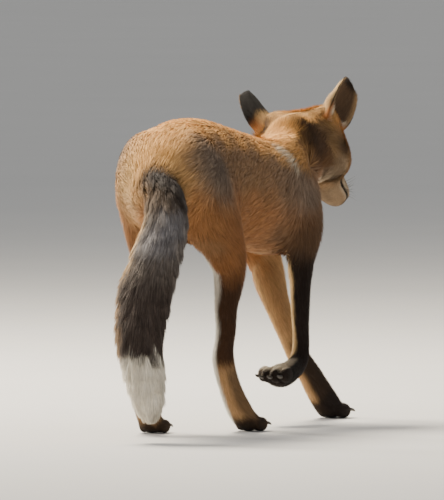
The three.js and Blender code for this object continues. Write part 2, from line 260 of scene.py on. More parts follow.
def turn_of(yaw: float, pitch: float, roll: float) -> Array:
    """The 3 by 3 turn by yaw about up, then pitch about left, then roll about back, in degrees."""
    z, x, y = (math.radians(v) for v in (yaw, pitch, roll))
    about_z = np.array([[math.cos(z), -math.sin(z), 0], [math.sin(z), math.cos(z), 0], [0, 0, 1]])
    about_x = np.array([[1, 0, 0], [0, math.cos(x), -math.sin(x)], [0, math.sin(x), math.cos(x)]])
    about_y = np.array([[math.cos(y), 0, math.sin(y)], [0, 1, 0], [-math.sin(y), 0, math.cos(y)]])
    return about_z @ about_x @ about_y


HEAD_AXES = turn_of(**HEAD_TURN)


def head_to_body(points: Array) -> Array:
    """Points of the head's own frame, in the body's."""
    return points @ HEAD_AXES.T + HEAD_AT


def body_to_head(points: Array) -> Array:
    """Points of the body's frame, in the head's own."""
    return (points - HEAD_AT) @ HEAD_AXES


def head_spot(spot: Sequence[float], side: float = 1.0) -> Array:
    """A place or a way of the head's frame, from how far it is ahead, to the side and up."""
    return np.array([side * spot[1], -spot[0], spot[2]])


def square_to(way: Array, axis: Array) -> Array:
    """The way square to an axis that is the nearest to another way."""
    return unit(way - axis * np.dot(way, axis))


def unit_gap(points: Array, centre: Array) -> Array:
    """How far points are from a centre."""
    return np.linalg.norm(points - centre, axis=1)


def almond(points: Array, side: float) -> Tuple[Array, Array]:
    """How places of the head's frame lie to one eye's opening.

    The opening is an ellipse on the eyeball, drawn in at its corners.

    Args:
        points: places of the head's frame.
        side: one for the left eye, minus one for the right.

    Returns:
        How far the places are from the eyeball's middle, and where they are over the opening's
        own size, less one.
    """
    ahead = unit(head_spot(GAZE, side))
    up = square_to(unit(np.array([side * -0.04, 0.02, 1.0])), ahead)
    wide = np.cross(ahead, up)
    q = points - head_spot(EYE_AT, side)
    r = np.linalg.norm(q, axis=1)
    qn = q / np.maximum(r, 1e-6)[:, None]
    a, b, c = qn @ wide, qn @ up, qn @ ahead
    half, high = SLIT_HALF[0], SLIT_HALF[1] * (1 - SLIT_DRAWN * a * a)
    slit = np.sqrt((a / half) ** 2 + (b / high) ** 2) - 1
    return r, np.where(c > 0, slit, BEHIND_EYE)


def lip_line(ahead: Array) -> Array:
    """How high the lips meet, in the head's frame, at places so far ahead."""
    return -55.5 + 3.0 * smooth(ahead, 62, 50) - 1.5 * smooth(ahead, 100, 116)


def paw_axes(pose: PawPose) -> Array:
    """A paw's axes as columns: across it, along its toes, and up from its sole."""
    ahead = unit(pose.toes)
    up = square_to(-pose.sole, ahead)
    return np.stack([np.cross(ahead, up), ahead, up], axis=1)


# ------------------------------------------------------------------ shapes of the field


@dataclass
class Found:
    """What a shape knows of some points: distance, share of its length, lie of the coat, coat depth."""

    distance: Array
    share: Array
    lie: Array
    depth: Array


@dataclass
class Shape:
    """Part of the fox's body, as a field that is negative inside it.

    Args:
        name: the part's name, which the markings read.
        blend: how widely it melts into what comes before it.
    """

    name: str
    blend: float
    LEAST_SLOPE = 1 / 60  # the least |grad g| that a distance is worked out with

    def box(self) -> Tuple[Array, Array]:
        """The lowest and highest corners of the room that the shape's field is wanted in."""
        raise NotImplementedError

    def gap(self, *axes: Tuple[Array, Array]) -> Array:
        """The distance (g - 1) / |grad g|, g being the length of a place over the half sizes.

        Args:
            axes: for each axis, the place along it and the half size.
        """
        g = np.sqrt(sum((at / half) ** 2 for at, half in axes))
        slope = np.sqrt(sum((at / (half * half)) ** 2 for at, half in axes)) / np.maximum(g, 1e-6)
        return (g - 1) / np.maximum(slope, self.LEAST_SLOPE)

    def find(self, points: Array) -> Found:
        """The shape's distance, share, lie and coat depth at points."""
        raise NotImplementedError


@dataclass
class Upright(Shape):
    """A body lofted along its length, its rings upright and each widest at its own level.

    At each place ahead, the ring is two half ellipses of one width. Past an end, the place
    beyond it counts over half of the end's size.

    Args:
        rows: the table of rings.
        head: whether the table is in the head's frame.
    """

    rows: Array = field(default_factory=lambda: TRUNK)
    head: bool = False
    fine: Array = field(init=False)
    LEAST_SLOPE = 1 / 70

    def __post_init__(self) -> None:
        """Runs the table smoothly."""
        self.fine = resample(self.rows, 240)
        self.fine = self.fine[np.argsort(self.fine[:, 0])]

    def box(self) -> Tuple[Array, Array]:
        """The room of the loft and 30 mm about it."""
        low = np.array([-self.rows[:, 3].max(), -self.rows[:, 0].max(), self.rows[:, 2].min()])
        high = np.array([self.rows[:, 3].max(), -self.rows[:, 0].min(), self.rows[:, 1].max()])
        if self.head:
            corners = np.array(np.meshgrid(*zip(low, high))).reshape(3, -1).T
            corners = head_to_body(corners)
            low, high = corners.min(0), corners.max(0)
        return low - 30, high + 30

    def find(self, points: Array) -> Found:
        """The loft's facts at points."""
        p = body_to_head(points) if self.head else points
        ahead = -p[:, 1]
        at = np.clip(ahead, self.fine[0, 0], self.fine[-1, 0])
        columns = self.fine[:, 1:6].T
        top, bottom, half, level, depth = (np.interp(at, self.fine[:, 0], column) for column in columns)
        widest = bottom + (top - bottom) * level
        x, z = p[:, 0], p[:, 2] - widest
        rise = np.where(z > 0, top - widest, widest - bottom) - depth
        wide = half - depth
        past = ahead - at
        dome = np.maximum(0.25 * (half + (top - bottom) * 0.5) - 0.4 * depth, 3.0)
        distance = self.gap((x, wide), (z, rise), (past, dome))
        share = (at - self.fine[0, 0]) / (self.fine[-1, 0] - self.fine[0, 0])
        if self.head:
            out = p[:, 0] / 50
            drop = np.where(p[:, 2] < -30, 0.35, 0.0) * smooth(ahead, 70, 20)
            lie = np.stack([out * smooth(ahead, 100, 30), np.ones_like(out), -0.05 - drop], 1) @ HEAD_AXES.T
        else:
            flank = np.clip(np.abs(x) / half, 0, 1)
            under = smooth(z, 0, -30)
            down = -0.5 * flank * (1 - 0.4 * under)
            lie = np.stack([-np.sign(x) * 0.25 * under, np.ones_like(x), down], 1)
        return Found(distance, share, unit(lie), depth)


@dataclass
class Limb(Shape):
    """A body lofted along a path, with rings square to it.

    A point is matched with the nearest place of the path, and measured along the side and fore
    axes of the ring there; past an end, the place beyond it counts over half of the end's size.

    Args:
        rows: the table of rings.
        count: how many places the path has.
        batch: how many points are matched at a time.
    """

    rows: Array = field(default_factory=lambda: NECK)
    count: int = 72
    batch: int = 60000
    fine: Array = field(init=False)
    centre: Array = field(init=False)
    along: Array = field(init=False)
    side: Array = field(init=False)
    fore: Array = field(init=False)

    def __post_init__(self) -> None:
        """Works out the path and the axes of its rings."""
        self.fine = resample(self.rows, self.count)
        self.centre = np.stack([self.fine[:, 0], -self.fine[:, 1], self.fine[:, 2]], 1)
        self.along = unit(np.gradient(self.centre, axis=0))
        across = np.array([1.0, 0.0, 0.0])
        self.side = unit(across - self.along * (self.along @ across)[:, None])
        self.fore = np.cross(self.along, self.side)

    def box(self) -> Tuple[Array, Array]:
        """The room of the path and its widest ring, with 22 mm about it."""
        reach = self.fine[:, 3:5].max() + 22
        return self.centre.min(0) - reach, self.centre.max(0) + reach

    def nearest(self, points: Array) -> Array:
        """The place along the path, as a sample's number and its fraction, nearest to each point."""
        near = np.empty(len(points), int)
        for start in range(0, len(points), self.batch):
            part = points[start : start + self.batch]
            gaps = (self.centre**2).sum(1) - 2 * part @ self.centre.T
            near[start : start + self.batch] = gaps.argmin(1)
        step = np.linalg.norm(np.gradient(self.centre, axis=0), axis=1)[near]
        ahead = ((points - self.centre[near]) * self.along[near]).sum(1) / step
        return np.clip(near + np.clip(ahead, -0.75, 0.75), 0, self.count - 1)

    def find(self, points: Array) -> Found:
        """The limb's facts at points."""
        at = self.nearest(points)
        i = np.minimum(at.astype(int), self.count - 2)
        t = (at - i)[:, None]
        mix = lambda values: values[i] * (1 - t) + values[i + 1] * t
        along, side, fore = (unit(mix(axis)) for axis in (self.along, self.side, self.fore))
        half, deep, coat = mix(self.fine[:, 3:6]).T
        gap = points - mix(self.centre)
        x, y, past = ((gap * axis).sum(1) for axis in (side, fore, along))
        past = np.where((at <= 0) | (at >= self.count - 1), past, 0.0)
        wide, long, dome = half - coat, deep - coat, (half + deep) * 0.25 - 0.3 * coat
        distance = self.gap((x, wide), (y, long), (past, dome))
        return Found(distance, at / (self.count - 1), along, coat)


@dataclass
class Egg(Shape):
    """An ellipsoid.

    Args:
        centre: its middle.
        half: its half sizes.
        axes: its axes as columns.
        coat: the coat's depth over it, which its size doesn't hold.
        lay: the way its coat lies.
        share: the share of its limb that it stands for.
    """

    centre: Array = field(default_factory=lambda: np.zeros(3))
    half: Array = field(default_factory=lambda: np.ones(3))
    axes: Array = field(default_factory=lambda: np.eye(3))
    coat: float = 2.0
    lay: Array = field(default_factory=lambda: np.array([0.0, 1.0, 0.0]))
    share: float = 1.0

    def box(self) -> Tuple[Array, Array]:
        """The room of the egg and 15 mm about it."""
        return self.centre - self.half.max() - 15, self.centre + self.half.max() + 15

    def find(self, points: Array) -> Found:
        """The egg's facts at points."""
        distance = self.gap(*zip(((points - self.centre) @ self.axes).T, self.half))
        count = len(points)
        lie = np.broadcast_to(unit(self.lay), (count, 3))
        return Found(distance, np.full(count, self.share), lie, np.full(count, self.coat))


def head_egg(name: str, at: Sequence[float], half: Sequence[float], blend: float, coat: float = 3.0,
             lay: Sequence[float] = (-1.0, 0.25, -0.2)) -> Egg:
    """An egg of the head: its place, half sizes and lie all go ahead, to the side and up."""
    half_sizes = np.array([half[1], half[0], half[2]])
    lay = HEAD_AXES @ unit(head_spot(lay, np.sign(at[1])))
    return Egg(name, blend, head_to_body(head_spot(at)), half_sizes, HEAD_AXES, coat, lay, 0.5)


# ------------------------------------------------------------------ the whole field


@dataclass
class Facts:
    """What the field knows at some points of the skin."""

    names: List[str]
    weights: Array
    shares: Array
    lie: Array
    depth: Array


@dataclass
class BodyField:
    """The fox's body, as shapes that melt into each other one after another.

    Args:
        sink: how deep the groove of the mouth is.
        lid: how thick an eyelid is over the eyeball.
        fade: how far off a shape's say in the coat falls to a third.
    """

    sink: float = 1.3
    lid: float = 1.8
    fade: float = 7.0
    shapes: List[Shape] = field(init=False)

    def __post_init__(self) -> None:
        """Lists the shapes from the trunk outward."""
        self.shapes = [
            Upright("trunk", 20),
            Limb("neck", 26, NECK),
            Upright("head", 24, HEAD, head=True),
        ]
        for side in SIDES.values():
            self.shapes += [
                head_egg("head", (42, side * 19, -17), (9, 7, 3.5), 12),
                head_egg("head", (90, side * 7.5, -52), (21, 8.5, 9), 9, 2),
                head_egg("head", (20, side * 27, -44), (24, 13, 18), 24, 6),
                Egg("trunk", 20, place(side * 27, 312, 300), np.array([11.0, 30, 22]), coat=7),
                Egg("trunk", 24, place(side * 30, 38, 300), np.array([16.0, 30, 32]), coat=9),
            ]
        for side, (ahead, out, up) in TUFTED.items():
            at = (ahead, SIDES[side] * out, up - 7)
            self.shapes.append(head_egg("head", at, (13, 10, 10), 24, 6, (-0.3, 0.5, 0.9)))
        self.shapes.append(head_egg("head", (102, 0, -60), (12, 8, 5), 6, 1.5))
        for name, rows in LEGS.items():
            self.shapes.append(Limb(name, 20 if name.startswith("fore") else 28, rows))
            self.shapes += self.paw(name)
        self.shapes.append(Limb("tail", 14, TAIL))

    def paw(self, name: str) -> List[Shape]:
        """The heel pad and the toes of a leg's paw."""
        pose = PAWS[name]
        axes = paw_axes(pose)
        coat = 1.8
        pad = Egg(name, 6, pose.ball, HEEL_PAD * pose.size - coat, axes, coat, pose.toes, 0.985)
        toes = [
            Egg(name, 2.2, pose.ball + axes @ (np.array([x, y, -3.0]) * pose.size),
                TOE_HALF * pose.size - coat * 0.8, axes, coat, pose.toes, 1.0)
            for x, y in TOES
        ]
        return [pad, *toes]

    def mouth(self, points: Array, distance: Array) -> Array:
        """Sinks the line of the lips: a soft groove at the height of the mouth, ahead of its corner."""
        p = body_to_head(points)
        ahead = -p[:, 1]
        there = smooth(ahead, 48, 58) * (p[:, 2] < -40) * (np.abs(p[:, 0]) < 34)
        return distance + self.sink * there * np.exp(-(((p[:, 2] - lip_line(ahead)) / 1.3) ** 2))

    def lids(self, points: Array, distance: Array) -> Array:
        """Raises the lids over the eyeballs and opens the almond between them."""
        p = body_to_head(points)
        for side in SIDES.values():
            near = unit_gap(p, head_spot(EYE_AT, side)) < 24
            r, slit = almond(p[near], side)
            opening = slit * EYE_RADIUS * 0.5
            d = melt(distance[near], r - (EYE_RADIUS + self.lid), 4.0)
            d = np.maximum(d, (EYE_RADIUS + 0.25) - r)
            distance[near] = np.maximum(d, -opening)
        return distance

    def soles(self, points: Array, distance: Array) -> Array:
        """Cuts the paws off flat just over the floor."""
        return np.maximum(distance, 0.15 - points[:, 2])

    def distance(self, points: Array) -> Array:
        """The whole field at points: the shapes melted in turn, then the mouth, lids and soles."""
        total = np.full(len(points), FAR)
        for shape in self.shapes:
            low, high = shape.box()
            inside = np.all((points > low) & (points < high), axis=1)
            if inside.any():
                total[inside] = melt(total[inside], shape.find(points[inside]).distance, shape.blend)
        return self.soles(points, self.lids(points, self.mouth(points, total)))

    def facts(self, points: Array) -> Facts:
        """Weights, shares, lie and coat depth at points of the skin.

        Each shape weighs exp(-(its distance - the least distance) / fade), and the lie and the
        depth are weighed sums.
        """
        names = ["trunk", "neck", "head", "tail", *LEGS]
        count = len(points)
        far = np.full((len(self.shapes), count), FAR)
        shares = np.zeros((len(self.shapes), count))
        lies = np.zeros((len(self.shapes), count, 3))
        depths = np.zeros((len(self.shapes), count))
        for k, shape in enumerate(self.shapes):
            low, high = shape.box()
            inside = np.all((points > low) & (points < high), axis=1)
            if inside.any():
                found = shape.find(points[inside])
                far[k, inside], shares[k, inside] = found.distance, found.share
                lies[k, inside], depths[k, inside] = found.lie, found.depth
        weigh = np.exp(-np.clip(far - far.min(0), 0, FAR) / self.fade)
        weigh /= weigh.sum(0)
        index = np.array([names.index(shape.name) for shape in self.shapes])
        weights = np.stack([weigh[index == k].sum(0) for k in range(len(names))])
        share = np.stack([
            (weigh[index == k] * shares[index == k]).sum(0) / np.maximum(weights[k], 1e-6)
            for k in range(len(names))
        ])
        lie = unit((weigh[:, :, None] * lies).sum(0))
        return Facts(names, weights, share, lie, (weigh * depths).sum(0))


@dataclass
class FieldGrid:
    """Args:
        body: the field.
        step: the grid's step in mm.
        low: the grid's lowest corner.
        high: its highest corner.
        slab: how many steps are worked out at a time.
    """

    body: BodyField
    step: float
    slab: int = 40
    low: Array = field(default_factory=lambda: np.array([-78.0, -492.0, -6.0]))
    high: Array = field(default_factory=lambda: np.array([80.0, 152.0, 404.0]))
    values: Array = field(init=False)

    def __post_init__(self) -> None:
        """Fills the grid, slab by slab."""
        axes = [np.arange(a, b, self.step) for a, b in zip(self.low, self.high)]
        slabs = []
        for start in range(0, len(axes[1]), self.slab):
            mesh = np.meshgrid(axes[0], axes[1][start : start + self.slab], axes[2], indexing="ij")
            points = np.stack([m.ravel() for m in mesh], 1)
            slabs.append(self.body.distance(points).reshape(mesh[0].shape))
        self.values = np.concatenate(slabs, axis=1).astype(np.float32)

    def surface(self) -> Tuple[Array, Array]:
        """The points and the four-sided faces where the field is nought."""
        grid = openvdb.FloatGrid(background=20.0)
        grid.copyFromArray(np.clip(self.values, -20, 20))
        points, quads = grid.convertToQuads(isovalue=0.0)
        return points.astype(float) * self.step + self.low, quads.astype(int)

    def sample(self, points: Array) -> Array:
        """The field at points, even between the grid's corners."""
        at = np.clip((points - self.low) / self.step, 0, np.array(self.values.shape) - 1.001)
        i = at.astype(int)
        t = at - i
        total = np.zeros(len(points))
        for corner in range(8):
            bits = np.array([corner & 1, corner >> 1 & 1, corner >> 2 & 1])
            weight = np.where(bits, t, 1 - t).prod(1)
            total += weight * self.values[tuple((i + bits).T)]
        return total

    def normal(self, points: Array, reach: float = 2.5) -> Array:
        """The way out of the body at points, from the field's slope."""
        steps = np.eye(3) * reach
        return unit(np.stack([self.sample(points + s) - self.sample(points - s) for s in steps], 1))


# ------------------------------------------------------------------ ears, eyes and the skin


@dataclass
class SkinPart:
    """A closed mesh of the skin, with what its coat needs at each point.

    Args:
        points: places in mm.
        triangles: faces, three points each.
        normals: the way out at each point.
        lie: the way the coat lies.
        depth: how deep the coat is.
        tint: the colour at each point.
        grizzle: the share of hairs there with dark tips.
        unwrap: the point's place on an even unwrap of its part, from 0 to 1 both ways.
        region: the number of the coat piece that each point belongs to.
    """

    points: Array
    triangles: Array
    normals: Array
    lie: Array
    depth: Array
    tint: Array
    grizzle: Array
    unwrap: Array
    region: Array

    @staticmethod
    def joined(parts: Sequence["SkinPart"]) -> "SkinPart":
        """Several parts as one."""
        starts = np.cumsum([0] + [len(part.points) for part in parts[:-1]])
        triangles = np.concatenate([part.triangles + start for part, start in zip(parts, starts)])
        names = ("points", "normals", "lie", "depth", "tint", "grizzle", "unwrap", "region")
        rest = {name: np.concatenate([getattr(part, name) for part in parts]) for name in names}
        return SkinPart(triangles=triangles, **rest)


def ring_faces(rows: int, columns: int) -> Array:
    """The triangles of a closed mesh made of rings, whose last two points are its ends' middles."""
    r = np.arange(rows - 1)[:, None]
    c = np.arange(columns)
    d = (c + 1) % columns
    first, last = rows * columns + np.zeros_like(c), (rows - 1) * columns
    a, b, e, f = r * columns + c, r * columns + d, (r + 1) * columns + d, (r + 1) * columns + c
    corners = [(a, b, e), (a, e, f), (first, d, c), (last + c, last + d, first + 1)]
    return np.concatenate([np.stack(three, -1).reshape(-1, 3) for three in corners])


def round_grid(rows: int, columns: int, margin: float) -> Tuple[Array, Array]:
    """The swing from a ball's pole and the turn about it of each point of a grid over the ball."""
    swing = np.linspace(margin, math.pi - margin, rows)
    return np.meshgrid(swing, np.linspace(0, 2 * math.pi, columns, endpoint=False), indexing="ij")


def face_normals(points: Array, triangles: Array) -> Array:
    """The way out at each point: the sum of its triangles' own normals."""
    a, b, c = (points[triangles[:, k]] for k in range(3))
    flat = np.cross(b - a, c - a)
    total = np.zeros_like(points)
    for k in range(3):
        np.add.at(total, triangles[:, k], flat)
    return unit(total)


def outward(points: Array, triangles: Array) -> Array:
    """The triangles of a closed mesh, turned round where its volume comes out below nought."""
    a, b, c = (points[triangles[:, k]] for k in range(3))
    volume = (a * np.cross(b, c)).sum()
    return triangles if volume > 0 else triangles[:, ::-1]


def ripple(points: Array, size: float, seed: int) -> Array:
    """Even, cloudy noise from about -1 to 1, whose clouds are size mm across: a sum of eight sines."""
    chance = np.random.default_rng(seed)
    waves = unit(chance.normal(size=(8, 3))) * 2 * math.pi / (size * chance.uniform(0.7, 1.5, (8, 1)))
    return np.sin(points @ waves.T + chance.uniform(0, 6.28, 8)).sum(1) / 4.0


class Region(Enum):
    """The pieces that the coat is made in."""

    RUMP = 0
    LOIN = 1
    CHEST = 2
    NECK = 3
    HEAD_LEFT = 4
    HEAD_RIGHT = 5
    TAIL_ROOT = 6
    TAIL_BRUSH = 7
    FORE_LEFT = 8
    FORE_RIGHT = 9
    HIND_LEFT = 10
    HIND_RIGHT = 11
    EAR_LEFT = 12
    EAR_RIGHT = 13


Tone = Tuple[float, float, float]
GOLD: Tone = (0.65, 0.335, 0.095)
RUST: Tone = (0.37, 0.145, 0.042)
FLANK: Tone = (0.27, 0.165, 0.085)
SMOKE: Tone = (0.185, 0.155, 0.130)
TAN: Tone = (0.43, 0.27, 0.135)
BUFF: Tone = (0.52, 0.31, 0.145)
STRAW: Tone = (0.68, 0.46, 0.21)
CREAM: Tone = (0.66, 0.57, 0.43)
WHITE: Tone = (0.78, 0.74, 0.65)
BROWN: Tone = (0.10, 0.06, 0.035)
BLACK: Tone = (0.018, 0.012, 0.010)
INK: Tone = (0.008, 0.006, 0.005)
CHARCOAL: Tone = (0.075, 0.055, 0.045)
ASH: Tone = (0.270, 0.260, 0.275)
LEATHER: Tone = (0.018, 0.015, 0.014)
EYE_WHITE: Tone = (0.05, 0.03, 0.02)
IRIS: Tone = (0.17, 0.072, 0.015)
IRIS_RIM: Tone = (0.16, 0.07, 0.02)
PUPIL: Tone = (0.004, 0.003, 0.003)
NOSE: Tone = (0.030, 0.026, 0.025)
HORN: Tone = (0.045, 0.035, 0.028)
WHISKER: Tone = (0.02, 0.016, 0.014)


def flat_tone(tone: Tone, count: int) -> Array:
    """One tone, as the colours of so many points."""
    return np.tile(np.array(tone), (count, 1))


def over(colours: Array, tone: Tone, amount: Array) -> Array:
    """Colours with a tone laid over them by amount, from 0 to 1."""
    a = np.clip(amount, 0, 1)[:, None]
    return colours * (1 - a) + np.array(tone) * a


@dataclass(frozen=True)
class Streak:
    """A soft-edged band of one colour between two places of the body.

    Args:
        tone: its colour.
        start: one end: left, ahead, height.
        end: the other end; the same place makes a round patch.
        width: how far from the line it fades to a third.
        amount: how much of it covers what lies below.
        both: whether the other side of the body has one too.
        head: whether the places are in the head's frame.
    """

    tone: Tone
    start: Tuple[float, float, float]
    end: Tuple[float, float, float]
    width: float
    amount: float
    both: bool = True
    head: bool = False

    def cover(self, points: Array) -> Array:
        """How much of the band covers each point: amount times exp(-(gap / width)^3)."""
        p = body_to_head(points) if self.head else points
        if self.both:
            p = np.stack([np.abs(p[:, 0]) * np.sign(self.start[0]), p[:, 1], p[:, 2]], 1)
        a, b = place(*self.start), place(*self.end)
        line = b - a
        t = np.clip((p - a) @ line / max(float(line @ line), 1e-9), 0, 1)
        gap = np.linalg.norm(p - a - t[:, None] * line, axis=1)
        return self.amount * np.exp(-((gap / self.width) ** 3))


STREAKS = (
    Streak(SMOKE, (-46, 45, 314), (-46, 70, 300), 30, 0.75),
    Streak(BROWN, (-47, 55, 316), (-48, 75, 304), 20, 0.30),
    Streak(BROWN, (-46, 280, 222), (-52, 318, 226), 26, 0.72),
    # painted shadow between the head and the neck: black above, brown below
    Streak(BLACK, (-29, 345, 330), (-45, 344, 303), 17, 0.95),
    Streak(BROWN, (-42, 354, 302), (-38, 370, 286), 16, 0.60),
    # painted highlight: a thin cream line along the ridge of each shoulder
    Streak(CREAM, (-29, 288, 320), (-45, 296, 303), 6.0, 0.85),
    # painted sheen: a grey highlight on the right of the tail's root
    Streak(ASH, (-48, -44, 262), (-38, -54, 240), 17, 0.70, False),
    Streak(BLACK, (-14, -12, 300), (-44, -18, 288), 24, 1.0, False),
    # painted shadow of the cheek ruff, along the crease between cheek and jaw
    Streak(BROWN, (46, 17, -42), (26, 36, -62), 9, 0.45, head=True),
    Streak(STRAW, (25, -4, -2), (34, -2, -6), 11, 0.80, head=True),
)


@dataclass
class MarkingsAndPaintedLight:
    """The fox's coat colours: its markings, with painted light and shade in places, as a colour and a share
    of dark-tipped hairs for every place.

    Args:
        points: places in mm.
        normals: the way out there.
        facts: what the field knows there.
    """

    points: Array
    normals: Array
    facts: Facts

    def paint(self) -> Tuple[Array, Array]:
        """The colours and the grizzle, each part's weighed by how near the part is."""
        parts = [self.trunk(), self.neck(), self.head(), self.tail(), *(self.leg(name) for name in LEGS)]
        weights = self.facts.weights**1.5
        weights = weights / weights.sum(0)
        colours = sum(w[:, None] * part[0] for w, part in zip(weights, parts))
        grizzle = sum(w * part[1] for w, part in zip(weights, parts))
        for streak in STREAKS:
            colours = over(colours, streak.tone, streak.cover(self.points))
        cloud = 1 + 0.07 * ripple(self.points, 26, 3) + 0.05 * ripple(self.points, 9, 4)
        return np.clip(colours * cloud[:, None], 0, 1), np.clip(grizzle, 0, 1)

    def trunk(self) -> Tuple[Array, Array]:
        """Gold back and rump, pale rump sides with painted light on the left one, grizzled flanks, smoky
        shoulders, rust below, tan belly, cream bib.
        """
        x, ahead, z = self.points[:, 0], -self.points[:, 1], self.points[:, 2]
        table = TRUNK[np.argsort(TRUNK[:, 0])]
        top, bottom = (np.interp(ahead, table[:, 0], table[:, k]) for k in (1, 2))
        rise = (z - bottom) / (top - bottom) + 0.04 * ripple(self.points, 34, 5)
        c = over(flat_tone(TAN, len(x)), RUST, smooth(rise, -0.02, 0.10))
        c = over(c, FLANK, 0.35 + 0.5 * smooth(rise, 0.36, 0.62))
        shoulder = np.exp(-(((ahead - 306) / 44) ** 2) - ((z - 278) / 40) ** 2)
        c = over(c, SMOKE, 0.8 * shoulder)
        c = over(c, GOLD, smooth(rise, 0.76, 0.90) * (1 - 0.3 * shoulder))
        c = over(c, GOLD, 0.75 * smooth(ahead, 62, 30) * smooth(rise, 0.3, 0.7))
        # pale straw on both rump sides; the left side's larger share is painted light from the left
        c = over(c, STRAW, 0.5 * smooth(ahead, 30, 0) * smooth(x, 8, 34))
        c = over(c, STRAW, 0.3 * smooth(ahead, 30, 0) * smooth(-x, 14, 34))
        bib = smooth(-self.normals[:, 1], 0.35, 0.8) * smooth(np.abs(x + 8), 40, 22)
        c = over(c, CREAM, 0.9 * bib * smooth(ahead, 318, 340))
        grizzle = 0.02 + 0.12 * smooth(rise, 0.25, 0.5) * smooth(rise, 0.78, 0.6)
        return c, grizzle

    def neck(self) -> Tuple[Array, Array]:
        """Gold above, rust at the sides with painted shade in brown, and cream at the throat."""
        n = self.normals
        front = smooth(-n[:, 1] - 1.1 * n[:, 2], 0.25, 0.95)
        c = over(flat_tone(RUST, len(n)), GOLD, smooth(n[:, 2] + 0.3 * n[:, 1], 0.1, 0.75))
        # painted shade: brown where the neck faces sideways
        c = over(c, BROWN, 0.45 * smooth(np.abs(n[:, 0]), 0.35, 0.8) * (1 - front))
        return over(c, CREAM, front), 0.05 + 0.1 * smooth(np.abs(n[:, 0]), 0.4, 0.9)

    def head(self) -> Tuple[Array, Array]:
        """Gold crown with a painted highlight on top, tan cheeks, pale lips and throat, painted shade on the
        lower cheeks, the jaw's sides and the back of the head, and a dark mouth, tear marks and eye rims.
        """
        p = body_to_head(self.points)
        x, ahead, z = np.abs(p[:, 0]), -p[:, 1], p[:, 2]
        out = (self.normals @ HEAD_AXES)[:, 2]
        c = flat_tone(GOLD, len(x))
        # painted highlight: paler straw where the back of the crown faces up
        c = over(c, STRAW, 0.6 * smooth(out, 0.4, 0.8) * smooth(ahead, 10, -20))
        c = over(c, TAN, 0.9 * smooth(z, -14, -34) * smooth(x, 12, 26))
        c = over(c, TAN, 0.75 * smooth(ahead, 52, 76))
        c = over(c, RUST, 0.45 * smooth(ahead, 60, 84) * smooth(out, 0.2, 0.8))
        # painted shade: brown over the lower cheeks below and behind the eyes
        c = over(c, BROWN, 0.42 * smooth(z, -24, -42) * smooth(ahead, 44, 10))
        pale = smooth(z + 0.10 * (ahead - 60), -50, -62) * smooth(ahead, 4, 30)
        # The lower face, lips and chin are white on every side; the white is full only where the face looks
        # ahead, and weaker on the sides as painted shade.
        front = smooth(-self.normals[:, 1], 0.0, 0.7)
        c = over(c, CREAM, pale * (0.34 + 0.45 * front))
        lips = smooth(z + 0.25 * (ahead - 60), -32, -44) * smooth(ahead, 62, 84)
        c = over(c, CREAM, 0.75 * lips * np.maximum(smooth(z, -62, -57), front))
        # painted shade: brown below the lip line on the sides of the jaw
        c = over(c, BROWN, 0.40 * smooth(z, -57, -62) * (1 - front))
        chin = smooth(z + 0.06 * (ahead - 60), -54, -64) * smooth(ahead, 74, 100)
        c = over(c, WHITE, 0.5 * front * chin)
        # painted shade: brown low on the back of the head, where it meets the neck
        c = over(c, BROWN, 0.75 * smooth(ahead, 2, -18) * smooth(x, 18, 30) * smooth(z, -8, -22))
        run = np.clip((ahead - 52) / 34, 0, 1)
        off = np.hypot(x - (18.5 - 4.5 * run), z - (-30 - 17 * run))
        tear = smooth(off, 6.5, 3.0) * smooth(ahead, 44, 52) * smooth(ahead, 96, 84)
        c = over(c, BROWN, 0.85 * tear)
        r, slit = almond(np.stack([x, p[:, 1], z], 1), 1.0)
        c = over(c, BROWN, 0.40 * smooth(slit, 1.0, 0.4) * smooth(r, 15, 12))
        c = over(c, BLACK, smooth(slit, 0.40, 0.16) * smooth(r, 14, 12))
        lip = smooth(np.abs(z - lip_line(ahead)), 2.6, 1.2) * smooth(ahead, 52, 60)
        c = over(c, BLACK, np.maximum(lip, smooth(ahead, 112, 117)))
        return c, 0.10 + 0.25 * smooth(z, -30, -5) * smooth(ahead, 60, 20) * (1 - pale)

    def tail(self) -> Tuple[Array, Array]:
        """Smoky root, a charcoal brush with painted light in tan and straw on its left side and painted shade
        in black low on its right, and a white tip.
        """
        z, n = self.points[:, 2], self.normals
        edge = z + 5 * ripple(self.points, 30, 6)
        c = flat_tone(CHARCOAL, len(z))
        c = over(c, SMOKE, 0.75 * smooth(z, 185, 232))
        c = over(c, FLANK, 0.7 * smooth(z, 265, 292))
        # painted light: tan and straw where the tail faces left and ahead
        c = over(c, TAN, 0.9 * smooth(n[:, 0] - 0.2 * n[:, 1], 0.30, 0.80))
        c = over(c, STRAW, 0.7 * smooth(n[:, 0], 0.5, 0.95) * smooth(z, 190, 240))
        # painted shade: black low on the tail where it faces right
        c = over(c, BLACK, 0.55 * smooth(z, 145, 115) * smooth(n[:, 0], 0.6, 0.0))
        white = smooth(edge, 130, 116)
        c = over(c, WHITE, white)
        c = over(c, CREAM, 0.4 * white)
        return c, 0.5 * (1 - white)

